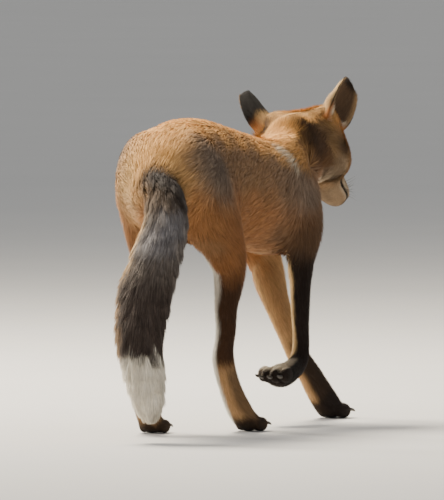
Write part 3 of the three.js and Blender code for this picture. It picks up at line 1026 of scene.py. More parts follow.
    def leg(self, name: str) -> Tuple[Array, Array]:
        """Rust or brown above and dark below, with pale sides, a pale buff back edge on the left hind leg,
        and painted highlights in straw and white along the left-facing back edges of the fore legs and the
        right hind leg.
        """
        share = self.facts.shares[self.facts.names.index(name)]
        n = self.normals
        side = SIDES[name.split("_")[1]]
        share = share + 0.015 * ripple(self.points, 22, 7)
        inner_front = n @ np.array([-0.91 * side, -0.42, 0.0])
        inner_back = n @ np.array([-0.91 * side, 0.42, 0.0])
        c = over(self.trunk()[0], RUST, smooth(share, 0.06, 0.2))
        if name == "fore_left":
            c = over(c, BUFF, smooth(share, 0.20, 0.30) * smooth(inner_back, -0.4, 0.1))
            front = smooth(-n[:, 1], 0.1, 0.7) * (1 - smooth(inner_back, 0.1, 0.6))
            c = over(c, BLACK, 0.9 * smooth(share, 0.30, 0.45) * front)
            # painted highlight: straw on the left-facing back edge
            rim_highlight_side = smooth(inner_front, -0.5, -0.85) * smooth(n[:, 1], 0.1, 0.75)
            c = over(c, STRAW, 0.75 * smooth(share, 0.28, 0.38) * rim_highlight_side)
            c = over(c, BLACK, 0.96 * smooth(share, 0.58, 0.70) * smooth(inner_front, -0.5, 0.15))
            c = over(c, BLACK, 0.96 * smooth(share, 0.87, 0.94))
        elif name == "fore_right":
            c = over(c, BROWN, 0.85 * smooth(share, 0.05, 0.15))
            c = over(c, BLACK, 0.97 * smooth(share, 0.17, 0.29))
            # painted highlight: straw on the left-facing back edge
            edge = smooth(inner_back, 0.58, 0.85) * smooth(share, 0.22, 0.30) * smooth(share, 0.80, 0.74)
            c = over(c, STRAW, 0.95 * edge)
            rim = np.maximum(smooth(n[:, 2], 0.72, 0.92), smooth(inner_back, 0.8, 0.96))
            c = over(c, CREAM, 0.75 * smooth(share, 0.80, 0.86) * rim)
        else:
            back = smooth(n[:, 1], -0.45, 0.05)
            c = over(c, BROWN, 0.45 * smooth(share, 0.04, 0.16))
            c = over(c, BLACK, 0.76 * smooth(share, 0.20, 0.36) * (1 - smooth(share, 0.655, 0.70) * back))
            c = over(c, BUFF, smooth(share, 0.655, 0.70) * back)
            c = over(c, BROWN, 0.65 * smooth(share, 0.66, 0.72) * smooth(inner_back, 0.1, -0.5))
            c = over(c, BLACK, 0.95 * smooth(share + 0.05 * inner_back, 0.90, 0.98))
            edge = smooth(inner_back, 0.50, 0.78) * smooth(share, 0.10, 0.20) * smooth(share, 0.99, 0.95)
            # the same back edge is pale buff fur on the left hind leg and a painted white highlight on the
            # right hind leg, whose edge faces left
            tone, amount = (WHITE, 0.95) if name == "hind_right" else (BUFF, 0.5)
            c = over(c, tone, amount * edge)
        pose = PAWS[name]
        sole = smooth(n @ unit(pose.sole), 0.72, 0.9) * smooth(share, 0.93, 0.97) * (pose.sole[2] < 0)
        return over(c, LEATHER, sole), np.full(len(c), 0.08)


@dataclass
class Ear:
    """An ear: a closed shell, round at its back and open to the way its mouth faces.

    A ring at each share of the length runs round the back of a circle of radius r from -wrap to
    wrap, and home along the inside of the wall. Depth is r - (r - wall) cos(angle).

    Args:
        side: which ear.
        base: its root, ahead, to the side and up in the head's frame.
        lean: the way it stands.
        mouth: the way it opens.
        length: how long it is.
        sink: how deep its root lies in the head.
        coat: how deep its coat is.
        outline: its half width at even shares of its length.
        rows: how many rings it has.
        columns: how many points a ring has on each face.
    """

    side: str
    base: Tuple[float, float, float]
    lean: Tuple[float, float, float]
    mouth: Tuple[float, float, float]
    length: float = 66.0
    sink: float = 10.0
    coat: float = 1.3
    outline: Tuple[float, ...] = (19, 21.5, 23, 23, 21.5, 18, 12)
    rows: int = 34
    columns: int = 30

    def arc(self, share: Array, turn: Array, wall: Array) -> Array:
        """Points of the shell in the head's frame, at shares of the length and turns from -1 to 1."""
        side = SIDES[self.side]
        up = unit(head_spot(self.lean, side))
        facing = square_to(head_spot(self.mouth, side), up)
        across = np.cross(facing, up)
        half = resample(np.array(self.outline)[:, None], 121)[:, 0]
        wrap = 1.75 + (1.05 - 1.75) * share
        half_here = np.interp(np.clip(share, 0, 1), np.linspace(0, 1, 121), half)
        tip = np.clip(1 - (np.clip(share - 0.76, 0, 1) / 0.24) ** 2.4, 0.0, 1) ** 0.45
        radius = half_here * (0.04 + 0.96 * tip) / np.sin(np.minimum(wrap, 1.45)) - self.coat
        angle = turn * wrap
        depth = radius - (radius - wall) * np.cos(angle) + self.coat
        return (
            head_spot(self.base, side)
            + (share * self.length)[..., None] * up
            + ((radius - wall) * np.sin(angle))[..., None] * across
            + (depth * 0.9 - self.sink + 6 * share**2)[..., None] * facing
        )

    def build(self) -> SkinPart:
        """The shell, its markings with painted shade in its hollow, and the lie of its coat."""
        share = np.concatenate([np.linspace(-0.12, 0.78, self.rows - 12), np.linspace(0.81, 0.998, 12)])
        turn = np.linspace(-1, 1, self.columns)
        s, t = np.meshgrid(share, turn, indexing="ij")
        wall = 3.0 * (1 - 0.55 * s) + 14 * smooth(s, 0.26, 0.02)
        wall = wall * (1 - 0.35 * np.abs(t) ** 3)
        rings = np.concatenate([self.arc(s, t, np.zeros_like(s)), self.arc(s, t, wall)[:, ::-1]], 1)
        ends = [rings[0].mean(0), rings[-1].mean(0)]
        points = head_to_body(np.concatenate([rings.reshape(-1, 3), ends]))
        faces = outward(points, ring_faces(self.rows, 2 * self.columns))
        normals = face_normals(points, faces)
        inside = np.concatenate([np.zeros_like(s), np.ones_like(s)], 1).reshape(-1)
        inside = np.append(inside, [0, 0])
        along = np.append(np.concatenate([s, s], 1).reshape(-1), [share[0], share[-1]])
        around = np.append(np.concatenate([np.abs(t), np.abs(t)[:, ::-1]], 1).reshape(-1), [0, 0])
        turns = np.append(np.concatenate([t, t[:, ::-1]], 1).reshape(-1), [0, 0])
        up = HEAD_AXES @ unit(head_spot(self.lean, SIDES[self.side]))
        count = len(points)
        colours = over(flat_tone(RUST, count), INK, smooth(along, 0.04, 0.2))
        medial = smooth(-SIDES[self.side] * normals[:, 0], 0.1, 0.6)
        height = 0.78 if self.side == "right" else 0.28
        colours = over(colours, STRAW, 0.85 * medial * smooth(along, height, height - 0.2))
        # painted shade: brown over the middle of the ear's hollow, tan left at its edges
        inner = over(flat_tone(TAN, count), BROWN, 0.95 * smooth(around, 0.97, 0.7))
        inner = over(inner, CREAM, 0.8 * smooth(along, 0.30, 0.1))
        inner = over(inner, BLACK, 0.9 * smooth(along, 0.8, 0.93))
        colours = np.where(inside[:, None] > 0.5, inner, colours)
        lie = np.broadcast_to(up, points.shape).copy()
        u, v = (turns * 0.5 + 0.5) * 0.48 + inside * 0.5, np.clip(along + 0.12, 0, 1.12) / 1.13
        region = Region.EAR_LEFT if self.side == "left" else Region.EAR_RIGHT
        depth = np.full(count, 1.5)
        depth += 1.8 * medial * smooth(along, 0.4, 0.15) * (1 - inside) - 1.1 * smooth(along, 0.72, 0.95)
        return SkinPart(points, faces, normals, lie, depth, colours, np.full(count, 0.1),
                        np.stack([u, v], 1), np.full(count, region.value))


EARS = (
    Ear("left", (-4, 41.5, -20), (0.05, 0.6, 1), (0.2, 1, 0)),
    Ear("right", (-3, 30, -15), (0.3, 0.26, 1), (-0.08, 1, 0.1)),
)


def refine(points: Array, triangles: Array, chosen: Array) -> Tuple[Array, Array]:
    """Halves each edge whose two ends are both chosen, and joins up the triangles round them."""
    edges = np.sort(triangles[:, [0, 1, 1, 2, 2, 0]].reshape(-1, 2), 1)
    keys, inverse = np.unique(edges[:, 0] * len(points) + edges[:, 1], return_inverse=True)
    ends = np.stack([keys // len(points), keys % len(points)], 1)
    cut = chosen[ends].all(1)
    middle = np.full(len(keys), -1)
    middle[cut] = len(points) + np.arange(cut.sum())
    m = middle[inverse].reshape(-1, 3)
    number = (m >= 0).sum(1)
    whole, all_cut, one_cut = triangles[number == 0], number == 3, number == 1
    a, b, c = triangles[all_cut].T
    ab, bc, ca = m[all_cut].T
    four = np.stack([a, ab, ca, ab, b, bc, ca, bc, c, ab, bc, ca], 1).reshape(-1, 3)
    which = m[one_cut].argmax(1)
    turned = np.take_along_axis(triangles[one_cut], (which[:, None] + np.arange(3)) % 3, 1)
    a, b, c = turned.T
    ab = m[one_cut].max(1)
    two = np.stack([a, ab, c, ab, b, c], 1).reshape(-1, 3)
    return np.concatenate([points, points[ends[cut]].mean(1)]), np.concatenate([whole, four, two])


@dataclass
class Skin:
    """The fox's one skin: the surface of the field, finer at the head and paws, with its ears.

    Args:
        body: the field.
        grid: the field worked out on a grid.
        paw_room: how far from its ball a paw's mesh is finer.
        eye_room: how far from its middle an eye's mesh is finer still.
    """

    body: BodyField
    grid: FieldGrid
    paw_room: float = 34.0
    eye_room: float = 17.0

    def settle(self, points: Array, rounds: int = 2) -> Array:
        """Moves points down the field's slope until they lie where it is nought."""
        for _ in range(rounds):
            value = self.body.distance(points)
            slope = np.stack([self.body.distance(points + s) - value for s in np.eye(3) * 0.5], 1) / 0.5
            size = np.maximum((slope**2).sum(1), 0.3)
            points = points - np.clip(value / size, -1.5, 1.5)[:, None] * slope
        return points

    def surface(self) -> Tuple[Array, Array]:
        """The points and triangles where the field is nought."""
        points, quads = self.grid.surface()
        triangles = np.concatenate([quads[:, [0, 1, 2]], quads[:, [0, 2, 3]]])
        head = body_to_head(points)
        near = (-head[:, 1] > 8) & (points[:, 1] < -300) & (points[:, 2] > 190)
        paws = [unit_gap(points, PAWS[name].ball) < self.paw_room for name in LEGS]
        points, triangles = refine(points, triangles, near | np.any(paws, axis=0))
        points = self.settle(points)
        head = body_to_head(points)
        x, ahead, z = np.abs(head[:, 0]), -head[:, 1], head[:, 2]
        eye = unit_gap(np.stack([ahead, x, z], 1), np.array(EYE_AT)) < self.eye_room
        mouth = (ahead > 48) & (np.abs(z + 55) < 7) & (points[:, 2] > 190)
        points, triangles = refine(points, triangles, eye | mouth)
        points = self.settle(points)
        return points, outward(points, triangles)

    def regions(self, points: Array, facts: Facts) -> Array:
        """The coat piece that each point belongs to."""
        nearest = facts.weights.argmax(0)
        ahead = -points[:, 1]
        side = body_to_head(points)[:, 0] < 0
        trunk = np.where(ahead < LOIN_END, Region.LOIN.value, Region.CHEST.value)
        trunk = np.where(ahead < RUMP_END, Region.RUMP.value, trunk)
        brush = np.where(points[:, 2] > BRUSH_TOP, Region.TAIL_ROOT.value, Region.TAIL_BRUSH.value)
        head = np.where(side, Region.HEAD_RIGHT.value, Region.HEAD_LEFT.value)
        legs = [np.full(len(points), Region[name.upper()].value) for name in LEGS]
        return np.choose(nearest, [trunk, np.full(len(points), Region.NECK.value), head, brush, *legs])

    def unwrap(self, points: Array, facts: Facts) -> Array:
        """Each point's turn round its part's middle line and its share of the part's length."""
        uprights = {shape.name: shape for shape in self.body.shapes if isinstance(shape, (Upright, Limb))}
        nearest = facts.weights.argmax(0)
        flat = np.zeros((len(points), 2))
        for k, name in enumerate(facts.names):
            mine = nearest == k
            if not mine.any():
                continue
            shape = uprights[name]
            if isinstance(shape, Upright):
                p = body_to_head(points[mine]) if shape.head else points[mine]
                middle = np.interp(-p[:, 1], shape.fine[:, 0], (shape.fine[:, 1] + shape.fine[:, 2]) / 2)
                turn, share = np.arctan2(p[:, 0], -(p[:, 2] - middle)), facts.shares[k, mine]
            else:
                at = shape.nearest(points[mine])
                i = at.astype(int)
                gap = points[mine] - shape.centre[i]
                turn = np.arctan2((gap * shape.side[i]).sum(1), (gap * shape.fore[i]).sum(1))
                share = at / (shape.count - 1)
            flat[mine] = np.stack([turn / (2 * math.pi) + 0.5, share], 1)
        return flat

    def build(self) -> SkinPart:
        """The skin with everything that the coat needs."""
        points, triangles = self.surface()
        normals = self.grid.normal(points, 1.2 * self.grid.step)
        facts = self.body.facts(points)
        p = body_to_head(points)
        p[:, 0] = np.abs(p[:, 0])
        r, slit = almond(p, 1.0)
        facts.depth[:] = facts.depth * (1 - 0.8 * smooth(slit, 1.8, 0.3) * smooth(r, 22, 14))
        tint, grizzle = MarkingsAndPaintedLight(points, normals, facts).paint()
        regions = self.regions(points, facts)
        own = SkinPart(points, triangles, normals, facts.lie, facts.depth, tint, grizzle,
                       self.unwrap(points, facts), regions)
        return SkinPart.joined([own, *(ear.build() for ear in EARS)])


# ------------------------------------------------------------------ meshes and their colours


def linked(name: str, data: bpy.types.ID) -> bpy.types.Object:
    """An object of the scene that shows some data."""
    made = bpy.data.objects.new(name, data)
    bpy.context.scene.collection.objects.link(made)
    return made


def new_piece(name: str, points: Array, triangles: Array, tint: Optional[Array] = None,
              corner_normals: Optional[Array] = None) -> bpy.types.Object:
    """A smooth mesh object, moved from the body's place in mm to the part's frame in metres.

    Args:
        name: the piece's name.
        points: places in mm.
        triangles: faces, three points each.
        tint: a colour for each point, kept as the pelage.
        corner_normals: each triangle's corners' own normals, where they aren't the mesh's.

    Returns:
        The object, linked to the scene.
    """
    mesh = bpy.data.meshes.new(name)
    mesh.vertices.add(len(points))
    mesh.vertices.foreach_set("co", ((points - ORIGIN) * MM).astype(np.float32).ravel())
    mesh.loops.add(triangles.size)
    mesh.loops.foreach_set("vertex_index", triangles.astype(np.int32).ravel())
    mesh.polygons.add(len(triangles))
    mesh.polygons.foreach_set("loop_start", np.arange(0, triangles.size, 3, dtype=np.int32))
    mesh.update(calc_edges=True)
    mesh.polygons.foreach_set("use_smooth", np.ones(len(triangles), bool))
    if tint is not None:
        layer = mesh.attributes.new(PELAGE, "FLOAT_COLOR", "POINT")
        rgba = np.concatenate([tint, np.ones((len(tint), 1))], 1)
        layer.data.foreach_set("color", rgba.astype(np.float32).ravel())
    mesh.validate()
    if corner_normals is not None:
        mesh.normals_split_custom_set(corner_normals.astype(np.float32))
    return linked(name, mesh)


def fit_out(piece: bpy.types.Object, material: bpy.types.Material, slot: str,
            *nodes: str) -> bpy.types.Object:
    """Gives a piece its material and body, and hides the nodes that it stands for."""
    piece.data.materials.append(material)
    if nodes:
        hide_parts(*nodes)
    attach(piece, "root")
    LOG.info("%s: %d triangles", piece.name, len(piece.data.polygons))
    return piece


# ------------------------------------------------------------------ the coat


@dataclass(frozen=True)
class Cut:
    """How the tufts of one piece of the coat are.

    Args:
        count: how many there are.
        rings: rings of three points below the tip.
        reach: a tuft's length over the coat's depth there.
        width: a tuft's width over its length.
        rise: how high its tip stands, over the coat's depth.
        swirl: how far tufts turn from the lie of the coat, in degrees.
        lock: how far tips draw together into locks.
        sag: how strongly gravity bends them down.
    """

    count: int
    rings: int = 2
    reach: float = 2.7
    width: float = 0.052
    rise: float = 0.8
    swirl: float = 9.0
    lock: float = 0.25
    sag: float = 0.0


CUTS: Dict[Region, Cut] = {
    Region.RUMP: Cut(15800, rise=0.7, lock=0.15),
    Region.LOIN: Cut(18800, rise=0.65, lock=0.10),
    Region.CHEST: Cut(19200, rise=0.65, lock=0.10),
    Region.NECK: Cut(4500, swirl=12),
    Region.HEAD_LEFT: Cut(32000, rings=1, reach=2.4, swirl=9, lock=0.15),
    Region.HEAD_RIGHT: Cut(32000, rings=1, reach=2.4, swirl=9, lock=0.15),
    Region.TAIL_ROOT: Cut(12500, reach=2.5, width=0.045, rise=0.95, swirl=13, lock=0.5, sag=0.25),
    Region.TAIL_BRUSH: Cut(13500, reach=2.4, width=0.045, rise=0.95, swirl=12, lock=0.55, sag=0.3),
    Region.FORE_LEFT: Cut(20000, rings=1, reach=2.7, swirl=8, lock=0.15),
    Region.FORE_RIGHT: Cut(20000, rings=1, reach=2.7, swirl=8, lock=0.15),
    Region.HIND_LEFT: Cut(20000, rings=1, reach=2.7, swirl=8, lock=0.15),
    Region.HIND_RIGHT: Cut(20000, rings=1, reach=2.7, swirl=8, lock=0.15),
    Region.EAR_LEFT: Cut(6500, rings=1, reach=4.6, swirl=9, lock=0.2),
    Region.EAR_RIGHT: Cut(6500, rings=1, reach=4.6, swirl=9, lock=0.2),
}


LOCK_KEYS = np.array([1, 4001, 4001**2])  # make one number of a lock's place in three steps
COAT_SLOTS = {"TAIL": "smoke_coat", "FORE": "black_coat", "EAR_": "black_coat", "CHES": "flank_coat",
              "LOIN": "flank_coat"}  # by the first letters of a region's name; the rest is russet


@dataclass
class Roots:
    """Where one piece's tufts start, with what the skin has there."""

    points: Array
    normals: Array
    lie: Array
    depth: Array
    tint: Array
    grizzle: Array
    unwrap: Array


def tuft_faces(rings: int) -> Array:
    """The triangles of one tuft: its sides between rings of three, its tip and its foot."""
    faces = []
    for ring in range(rings - 1):
        a, b, c, d, e, f = (3 * ring + k for k in range(6))
        faces += [(a, b, e), (a, e, d), (b, c, f), (b, f, e), (c, a, d), (c, d, f)]
    a, tip = 3 * (rings - 1), 3 * rings
    return np.array(faces + [(a, a + 1, tip), (a + 1, a + 2, tip), (a + 2, a, tip), (0, 2, 1)])


@dataclass
class Tufts:
    """One piece of the coat: closed tapered tufts of three sides that lie along the skin.

    Args:
        region: which piece it is.
        skin: the skin that it grows on.
        grid: the field, which the tufts follow.
        cut: how its tufts are.
        patch: how much of the unwrap, from 0 to 1, a tuft takes.
    """

    region: Region
    skin: SkinPart
    grid: FieldGrid
    cut: Cut
    patch: float = 0.003

    def chance(self) -> np.random.Generator:
        """The piece's own seeded chance."""
        return np.random.default_rng(1000 + self.region.value)

    def roots(self, chance: np.random.Generator) -> Roots:
        """Places spread evenly over the piece's triangles by area, the same number to each share."""
        skin = self.skin
        own = skin.triangles[skin.region[skin.triangles[:, 0]] == self.region.value]
        a, b, c = (skin.points[own[:, k]] for k in range(3))
        area = np.linalg.norm(np.cross(b - a, c - a), axis=1)
        thin = np.clip(skin.depth[own[:, 0]], 1.2, 9) ** -0.35
        total = np.cumsum(area * thin)
        wanted = (np.arange(self.cut.count) + chance.uniform(0, 1, self.cut.count)) / self.cut.count
        pick = own[np.searchsorted(total, wanted * total[-1]).clip(0, len(own) - 1)]
        u, v = chance.uniform(0, 1, (2, self.cut.count))
        flip = u + v > 1
        u, v = np.where(flip, 1 - u, u), np.where(flip, 1 - v, v)
        shares = np.stack([1 - u - v, u, v], 1)
        mixed = lambda values: (values[pick] * shares.reshape(-1, 3, *(1,) * (values.ndim - 1))).sum(1)
        return Roots(mixed(skin.points), unit(mixed(skin.normals)), unit(mixed(skin.lie)),
                     mixed(skin.depth), mixed(skin.tint), mixed(skin.grizzle), skin.unwrap[pick[:, 0]])

    def spines(self, roots: Roots, chance: np.random.Generator) -> Tuple[Array, Array, Array]:
        """The middle line of each tuft, with the way out of the skin beside it.

        Each step goes on along the lie, laid flat on the skin below, and then up or down the
        field's slope to the height h(t) = H (1 - (1 - t)^1.7), H being the tip's height.

        Returns:
            Points and normals, of one row for the root and one for each ring and the tip, and
            the tufts' lengths.
        """
        count, steps = len(roots.points), self.cut.rings
        n = roots.normals
        way = unit(roots.lie - n * (roots.lie * n).sum(1)[:, None])
        turn = np.radians(self.cut.swirl * chance.normal(size=count) * 0.7 + 9 * ripple(roots.points, 30, 11))
        way = unit(way * np.cos(turn)[:, None] + np.cross(n, way) * np.sin(turn)[:, None])
        size = chance.uniform(0.72, 1.12, count)
        length = (self.cut.reach * roots.depth + 1.2) * size
        height = roots.depth * self.cut.rise * chance.uniform(0.45, 1.05, count)
        ear = self.region in (Region.EAR_LEFT, Region.EAR_RIGHT)
        spine, outs = [roots.points - n * 0.5], [n]
        q = roots.points
        for step in range(1, steps + 1):
            t = step / steps
            last = q
            way = unit(way + np.array([0.0, 0.0, -1.0]) * self.cut.sag * t)
            q = q + way * (length / steps)[:, None]
            target = height * (1 - (1 - t) ** 1.7)
            if ear:
                q = q + n * target[:, None]
            else:
                slope = self.grid.normal(q)
                n = unit(n * 0.4 + slope)
                q = q + n * np.clip(target - self.grid.sample(q), -5, 5)[:, None]
            ahead = unit(q - last)
            way = unit(way * 0.5 + ahead * 0.5)
            spine.append(q)
            outs.append(n)
        line, out = np.stack(spine, 1), np.stack(outs, 1)
        wavy = roots.points + 2.5 * ripple(roots.points, 13, 12)[:, None]
        cell = np.floor(wavy / (0.35 * length.mean() + 1.5))
        key = np.unique(cell.astype(int) @ LOCK_KEYS, return_inverse=True)[1]
        number = np.bincount(key).astype(float)
        tip = line[:, -1]
        middle = np.stack([np.bincount(key, tip[:, k]) / number for k in range(3)], 1)[key]
        pull = self.cut.lock * np.linspace(0, 1, steps + 1) ** 1.5
        line = line + pull[None, :, None] * (middle - tip)[:, None, :]
        return line, out, length

    def mesh(self, roots: Roots, chance: np.random.Generator) -> Tuple[Array, Array, Array, Array, Array]:
        """Points, triangles, colours, normals and unwrap of all the tufts.

        A ring's three points are the top and the two sides of a flat lens; its width shrinks
        towards the tip as 1 - t^2 and its thickness is two fifths of its width.
        """
        line, out, length = self.spines(roots, chance)
        count, rings = len(line), self.cut.rings
        ahead = unit(np.gradient(line, axis=1))
        out = unit(out - ahead * (out * ahead).sum(2)[:, :, None])
        across = np.cross(ahead, out)
        t = np.linspace(0, 1, rings + 1)[None, :, None]
        widest = np.minimum(0.35 + self.cut.width * length, 2.3) * chance.uniform(0.75, 1.2, count)
        width = widest[:, None, None] * (1 - t**2) * np.where(t == 0, 0.8, 1)
        top = line + out * width * 0.4
        left, right = line + across * width * 0.5, line - across * width * 0.5
        body = np.stack([top, left, right], 2)[:, :rings].reshape(count, rings * 3, 3)
        points = np.concatenate([body, line[:, -1:]], 1)
        lit = np.stack([out, out * 0.75 + across * 0.5, out * 0.75 - across * 0.5], 2)
        lit = np.concatenate([lit[:, :rings].reshape(count, rings * 3, 3), out[:, -1:]], 1)
        lit = unit(lit + 0.07 * chance.normal(size=(count, 1, 3))).reshape(-1, 3)
        tint = self.tint(roots, chance, rings)
        ring_number = np.append(np.repeat(np.arange(rings), 3), rings)
        tint = tint[:, ring_number]
        faces = tuft_faces(rings)
        each = 3 * rings + 1
        triangles = (faces[None] + (np.arange(count) * each)[:, None, None]).reshape(-1, 3)
        tops = 3 * np.arange(rings)
        under = ~np.isin(faces, tops).any(1)
        lit = lit[triangles] * np.where(np.tile(under, count), -1.0, 1.0)[:, None, None]
        spot = np.array([[0.0, 1.0, 0.5]])
        u = np.append(np.tile(spot, (rings, 1)).ravel(), 0.5)
        v = ring_number / rings + np.append(np.tile([0, 0, 0.15], rings), 0)
        base = 0.004 + np.clip(roots.unwrap, 0, 1) * 0.988
        flat = base[:, None, :] + self.patch * np.stack([u, np.minimum(v, 1.0)], 1)[None]
        points, tint, lit = (values.reshape(-1, 3) for values in (points, tint, lit))
        return points, triangles, tint, lit, flat.reshape(-1, 2)

    def tint(self, roots: Roots, chance: np.random.Generator, rings: int) -> Array:
        """Each tuft's colours from root to tip: darker underfur, the skin's colour there (painted light and
        shade included where the skin has them), and dark or pale tips.
        """
        count = len(roots.tint)
        light = chance.uniform(0.84, 1.18, (count, 1))
        own = roots.tint * light
        dark = chance.uniform(0, 1, count) < roots.grizzle
        pale = (chance.uniform(0, 1, count) < 0.16) & ~dark
        tip = own * 1.08
        tip = np.where(dark[:, None], own * 0.42 + np.array(BLACK) * 0.4, tip)
        tip = np.where(pale[:, None], own * 1.22 + 0.02, tip)
        band = np.where(dark[:, None], own * 1.22 + 0.015, own)
        stops = [own * 0.86]
        for ring in range(1, rings + 1):
            share = ring / rings
            stops.append(band * (1 - share**2) + tip * share**2)
        return np.clip(np.stack(stops, 1), 0, 1)

    def build(self, material: bpy.types.Material) -> bpy.types.Object:
        """The piece, ready to ride."""
        chance = self.chance()
        roots = self.roots(chance)
        points, triangles, tint, lit, flat = self.mesh(roots, chance)
        points[:, 2] = np.maximum(points[:, 2], 0.12)
        piece = new_piece("coat_" + self.region.name.lower(), points, triangles, tint, lit)
        layer = piece.data.uv_layers.new(name="OFBake")
        corner = np.empty(len(piece.data.loops), np.int32)
        piece.data.loops.foreach_get("vertex_index", corner)
        layer.data.foreach_set("uv", flat[corner].astype(np.float32).ravel())
        return fit_out(piece, material, COAT_SLOTS.get(self.region.name[:4], "russet_coat"))


# ------------------------------------------------------------------ materials

Value = Union["Wire", float]


@dataclass
class Wire:
    """An output socket with the sums that the materials use."""

    sheet: "Sheet"
    socket: bpy.types.NodeSocket

    def math(self, operation: str, first: Value, second: Value = 0.0) -> "Wire":
        """A Math node on two values."""
        return self.sheet.node("ShaderNodeMath", {"operation": operation}, {0: first, 1: second})

    def __add__(self, other: Value) -> "Wire":
        """The sum of both."""
        return self.math("ADD", self, other)

    def __sub__(self, other: Value) -> "Wire":
        """This less the other."""
        return self.math("SUBTRACT", self, other)

    def __mul__(self, other: Value) -> "Wire":
        """Both multiplied."""
        return self.math("MULTIPLY", self, other)

    __radd__ = __add__


@dataclass
class Sheet:
    """A material being drawn up, node by node."""

    material: bpy.types.Material
    tree: bpy.types.NodeTree = field(init=False)

    def __post_init__(self) -> None:
        """Clears the material's nodes."""
        self.material.use_nodes = True
        self.tree = self.material.node_tree
        self.tree.nodes.clear()

    def node(self, kind: str, settings: Optional[dict] = None, sockets: Optional[dict] = None,
             output: Union[int, str] = 0) -> Wire:
        """Adds a node.

        Args:
            kind: the node's type.
            settings: its own settings, set first; "stops" are a ramp's places and colours.
            sockets: values or wires for its inputs, by name or number.
            output: which output comes back.

        Returns:
            The output.
        """
        made = self.tree.nodes.new(kind)
        for name, value in (settings or {}).items():
            if name == "stops":
                ramp = made.color_ramp
                for k, (at, colour) in enumerate(value):
                    stop = ramp.elements[k] if k < 2 else ramp.elements.new(at)
                    stop.position, stop.color = at, (*colour, 1.0)
            else:
                setattr(made, name, value)
        for name, value in (sockets or {}).items():
            if isinstance(value, Wire):
                self.tree.links.new(value.socket, made.inputs[name])
            else:
                made.inputs[name].default_value = value
        return Wire(self, made.outputs[output])

    def place(self) -> Wire:
        """The place on the object."""
        return self.node("ShaderNodeTexCoord", output="Object")

    def noise(self, scale: float, detail: float = 3.0, roughness: float = 0.55) -> Wire:
        """Cloudy noise, so many clouds to a metre."""
        sockets = {"Vector": self.place(), "Scale": scale, "Detail": detail, "Roughness": roughness}
        return self.node("ShaderNodeTexNoise", None, sockets)

    def marks(self) -> Wire:
        """The colours that the piece carries."""
        return self.node("ShaderNodeAttribute", {"attribute_name": PELAGE}, None, "Color")

    def bump(self, cells: Wire, high: float, strength: float) -> Wire:
        """The way out of a surface with cells so many metres high."""
        return self.node("ShaderNodeBump", None, {"Height": cells, "Distance": high, "Strength": strength})

    def tinted(self, colour: Union[Wire, Tone], factor: Value, low: float, high: float) -> Wire:
        """A colour made darker or lighter, from low to high, as factor goes from 0 to 1."""
        stops = [(0.0, (low,) * 3), (1.0, (high,) * 3)]
        grey = self.node("ShaderNodeValToRGB", {"stops": stops}, {0: factor})
        first = colour if isinstance(colour, Wire) else (*colour, 1.0)
        settings = {"data_type": "RGBA", "blend_type": "MULTIPLY"}
        return self.node("ShaderNodeMix", settings, {0: 1.0, 6: first, 7: grey}, 2)

    def finish(self, sockets: dict) -> bpy.types.Material:
        """Ends the material in one Principled shader."""
        shader = self.node("ShaderNodeBsdfPrincipled", None, sockets)
        end = self.tree.nodes.new("ShaderNodeOutputMaterial")
        self.tree.links.new(shader.socket, end.inputs["Surface"])
        return self.material


@dataclass(frozen=True)
class FurFinish:
    """Hair that carries the coat's colours, painted light and shade included: rough, with a soft sheen.

    Args:
        name: the material's name.
        roughness: how dull it is.
        bump: how high its fine grain is, in metres; nought leaves it smooth.
    """

    name: str
    roughness: float = 0.72
    bump: float = 0.0

    def make(self) -> bpy.types.Material:
        """The material."""
        sheet = Sheet(bpy.data.materials.new(self.name))
        marks = sheet.marks()
        fine = sheet.noise(900.0, 2.0)
        sockets = {
            "Base Color": sheet.tinted(marks, fine, 0.80, 1.18),
            "Roughness": self.roughness + (fine - 0.5) * 0.2,
            "Specular IOR Level": 0.13,
            "Sheen Weight": 0.05,
            "Sheen Roughness": 0.45,
        }
        if self.bump:
            sockets["Normal"] = sheet.bump(sheet.noise(1300.0, 3.0, 0.6), self.bump, 0.9)
        return sheet.finish(sockets)


@dataclass(frozen=True)
class GlossFinish:
    """A smooth, wet or horny finish.

    Args:
        name: the material's name.
        tone: its colour, or nothing where the piece carries its own.
        roughness: how dull it is.
        coat: the weight of a clear coat over it.
        grain: how many grains there are to a metre.
        bump: how high they are, in metres.
    """

    name: str
    tone: Optional[Tone]
    roughness: float
    coat: float = 0.0
    grain: float = 900.0
    bump: float = 0.0

    def make(self) -> bpy.types.Material:
        """The material."""
        sheet = Sheet(bpy.data.materials.new(self.name))
        base = self.tone or sheet.marks()
        cloud = sheet.noise(self.grain * 0.4, 3.0)
        sockets = {
            "Base Color": sheet.tinted(base, cloud, 0.75, 1.25),
            "Roughness": self.roughness + (cloud - 0.5) * self.roughness * 0.6,
            "Coat Weight": self.coat,
            "Coat Roughness": 0.04,
        }
        if self.bump:
            spread = {"Vector": sheet.place(), "Scale": self.grain}
            cells = sheet.node("ShaderNodeTexVoronoi", {"feature": "F1"}, spread)
            sockets["Normal"] = sheet.bump(cells, self.bump, 0.8)
        return sheet.finish(sockets)


@dataclass(frozen=True)
class FloorFinish:
    """Plain pale paper."""

    name: str = "paper_floor"
    tone: Tone = (0.66, 0.65, 0.63)

    def make(self) -> bpy.types.Material:
        """The material."""
        sheet = Sheet(bpy.data.materials.new(self.name))
        colour = sheet.tinted(self.tone, sheet.noise(3.0, 2.0), 0.97, 1.03)
        return sheet.finish({"Base Color": colour, "Roughness": 0.9, "Specular IOR Level": 0.2})


# ------------------------------------------------------------------ eyes, nose, claws, whiskers


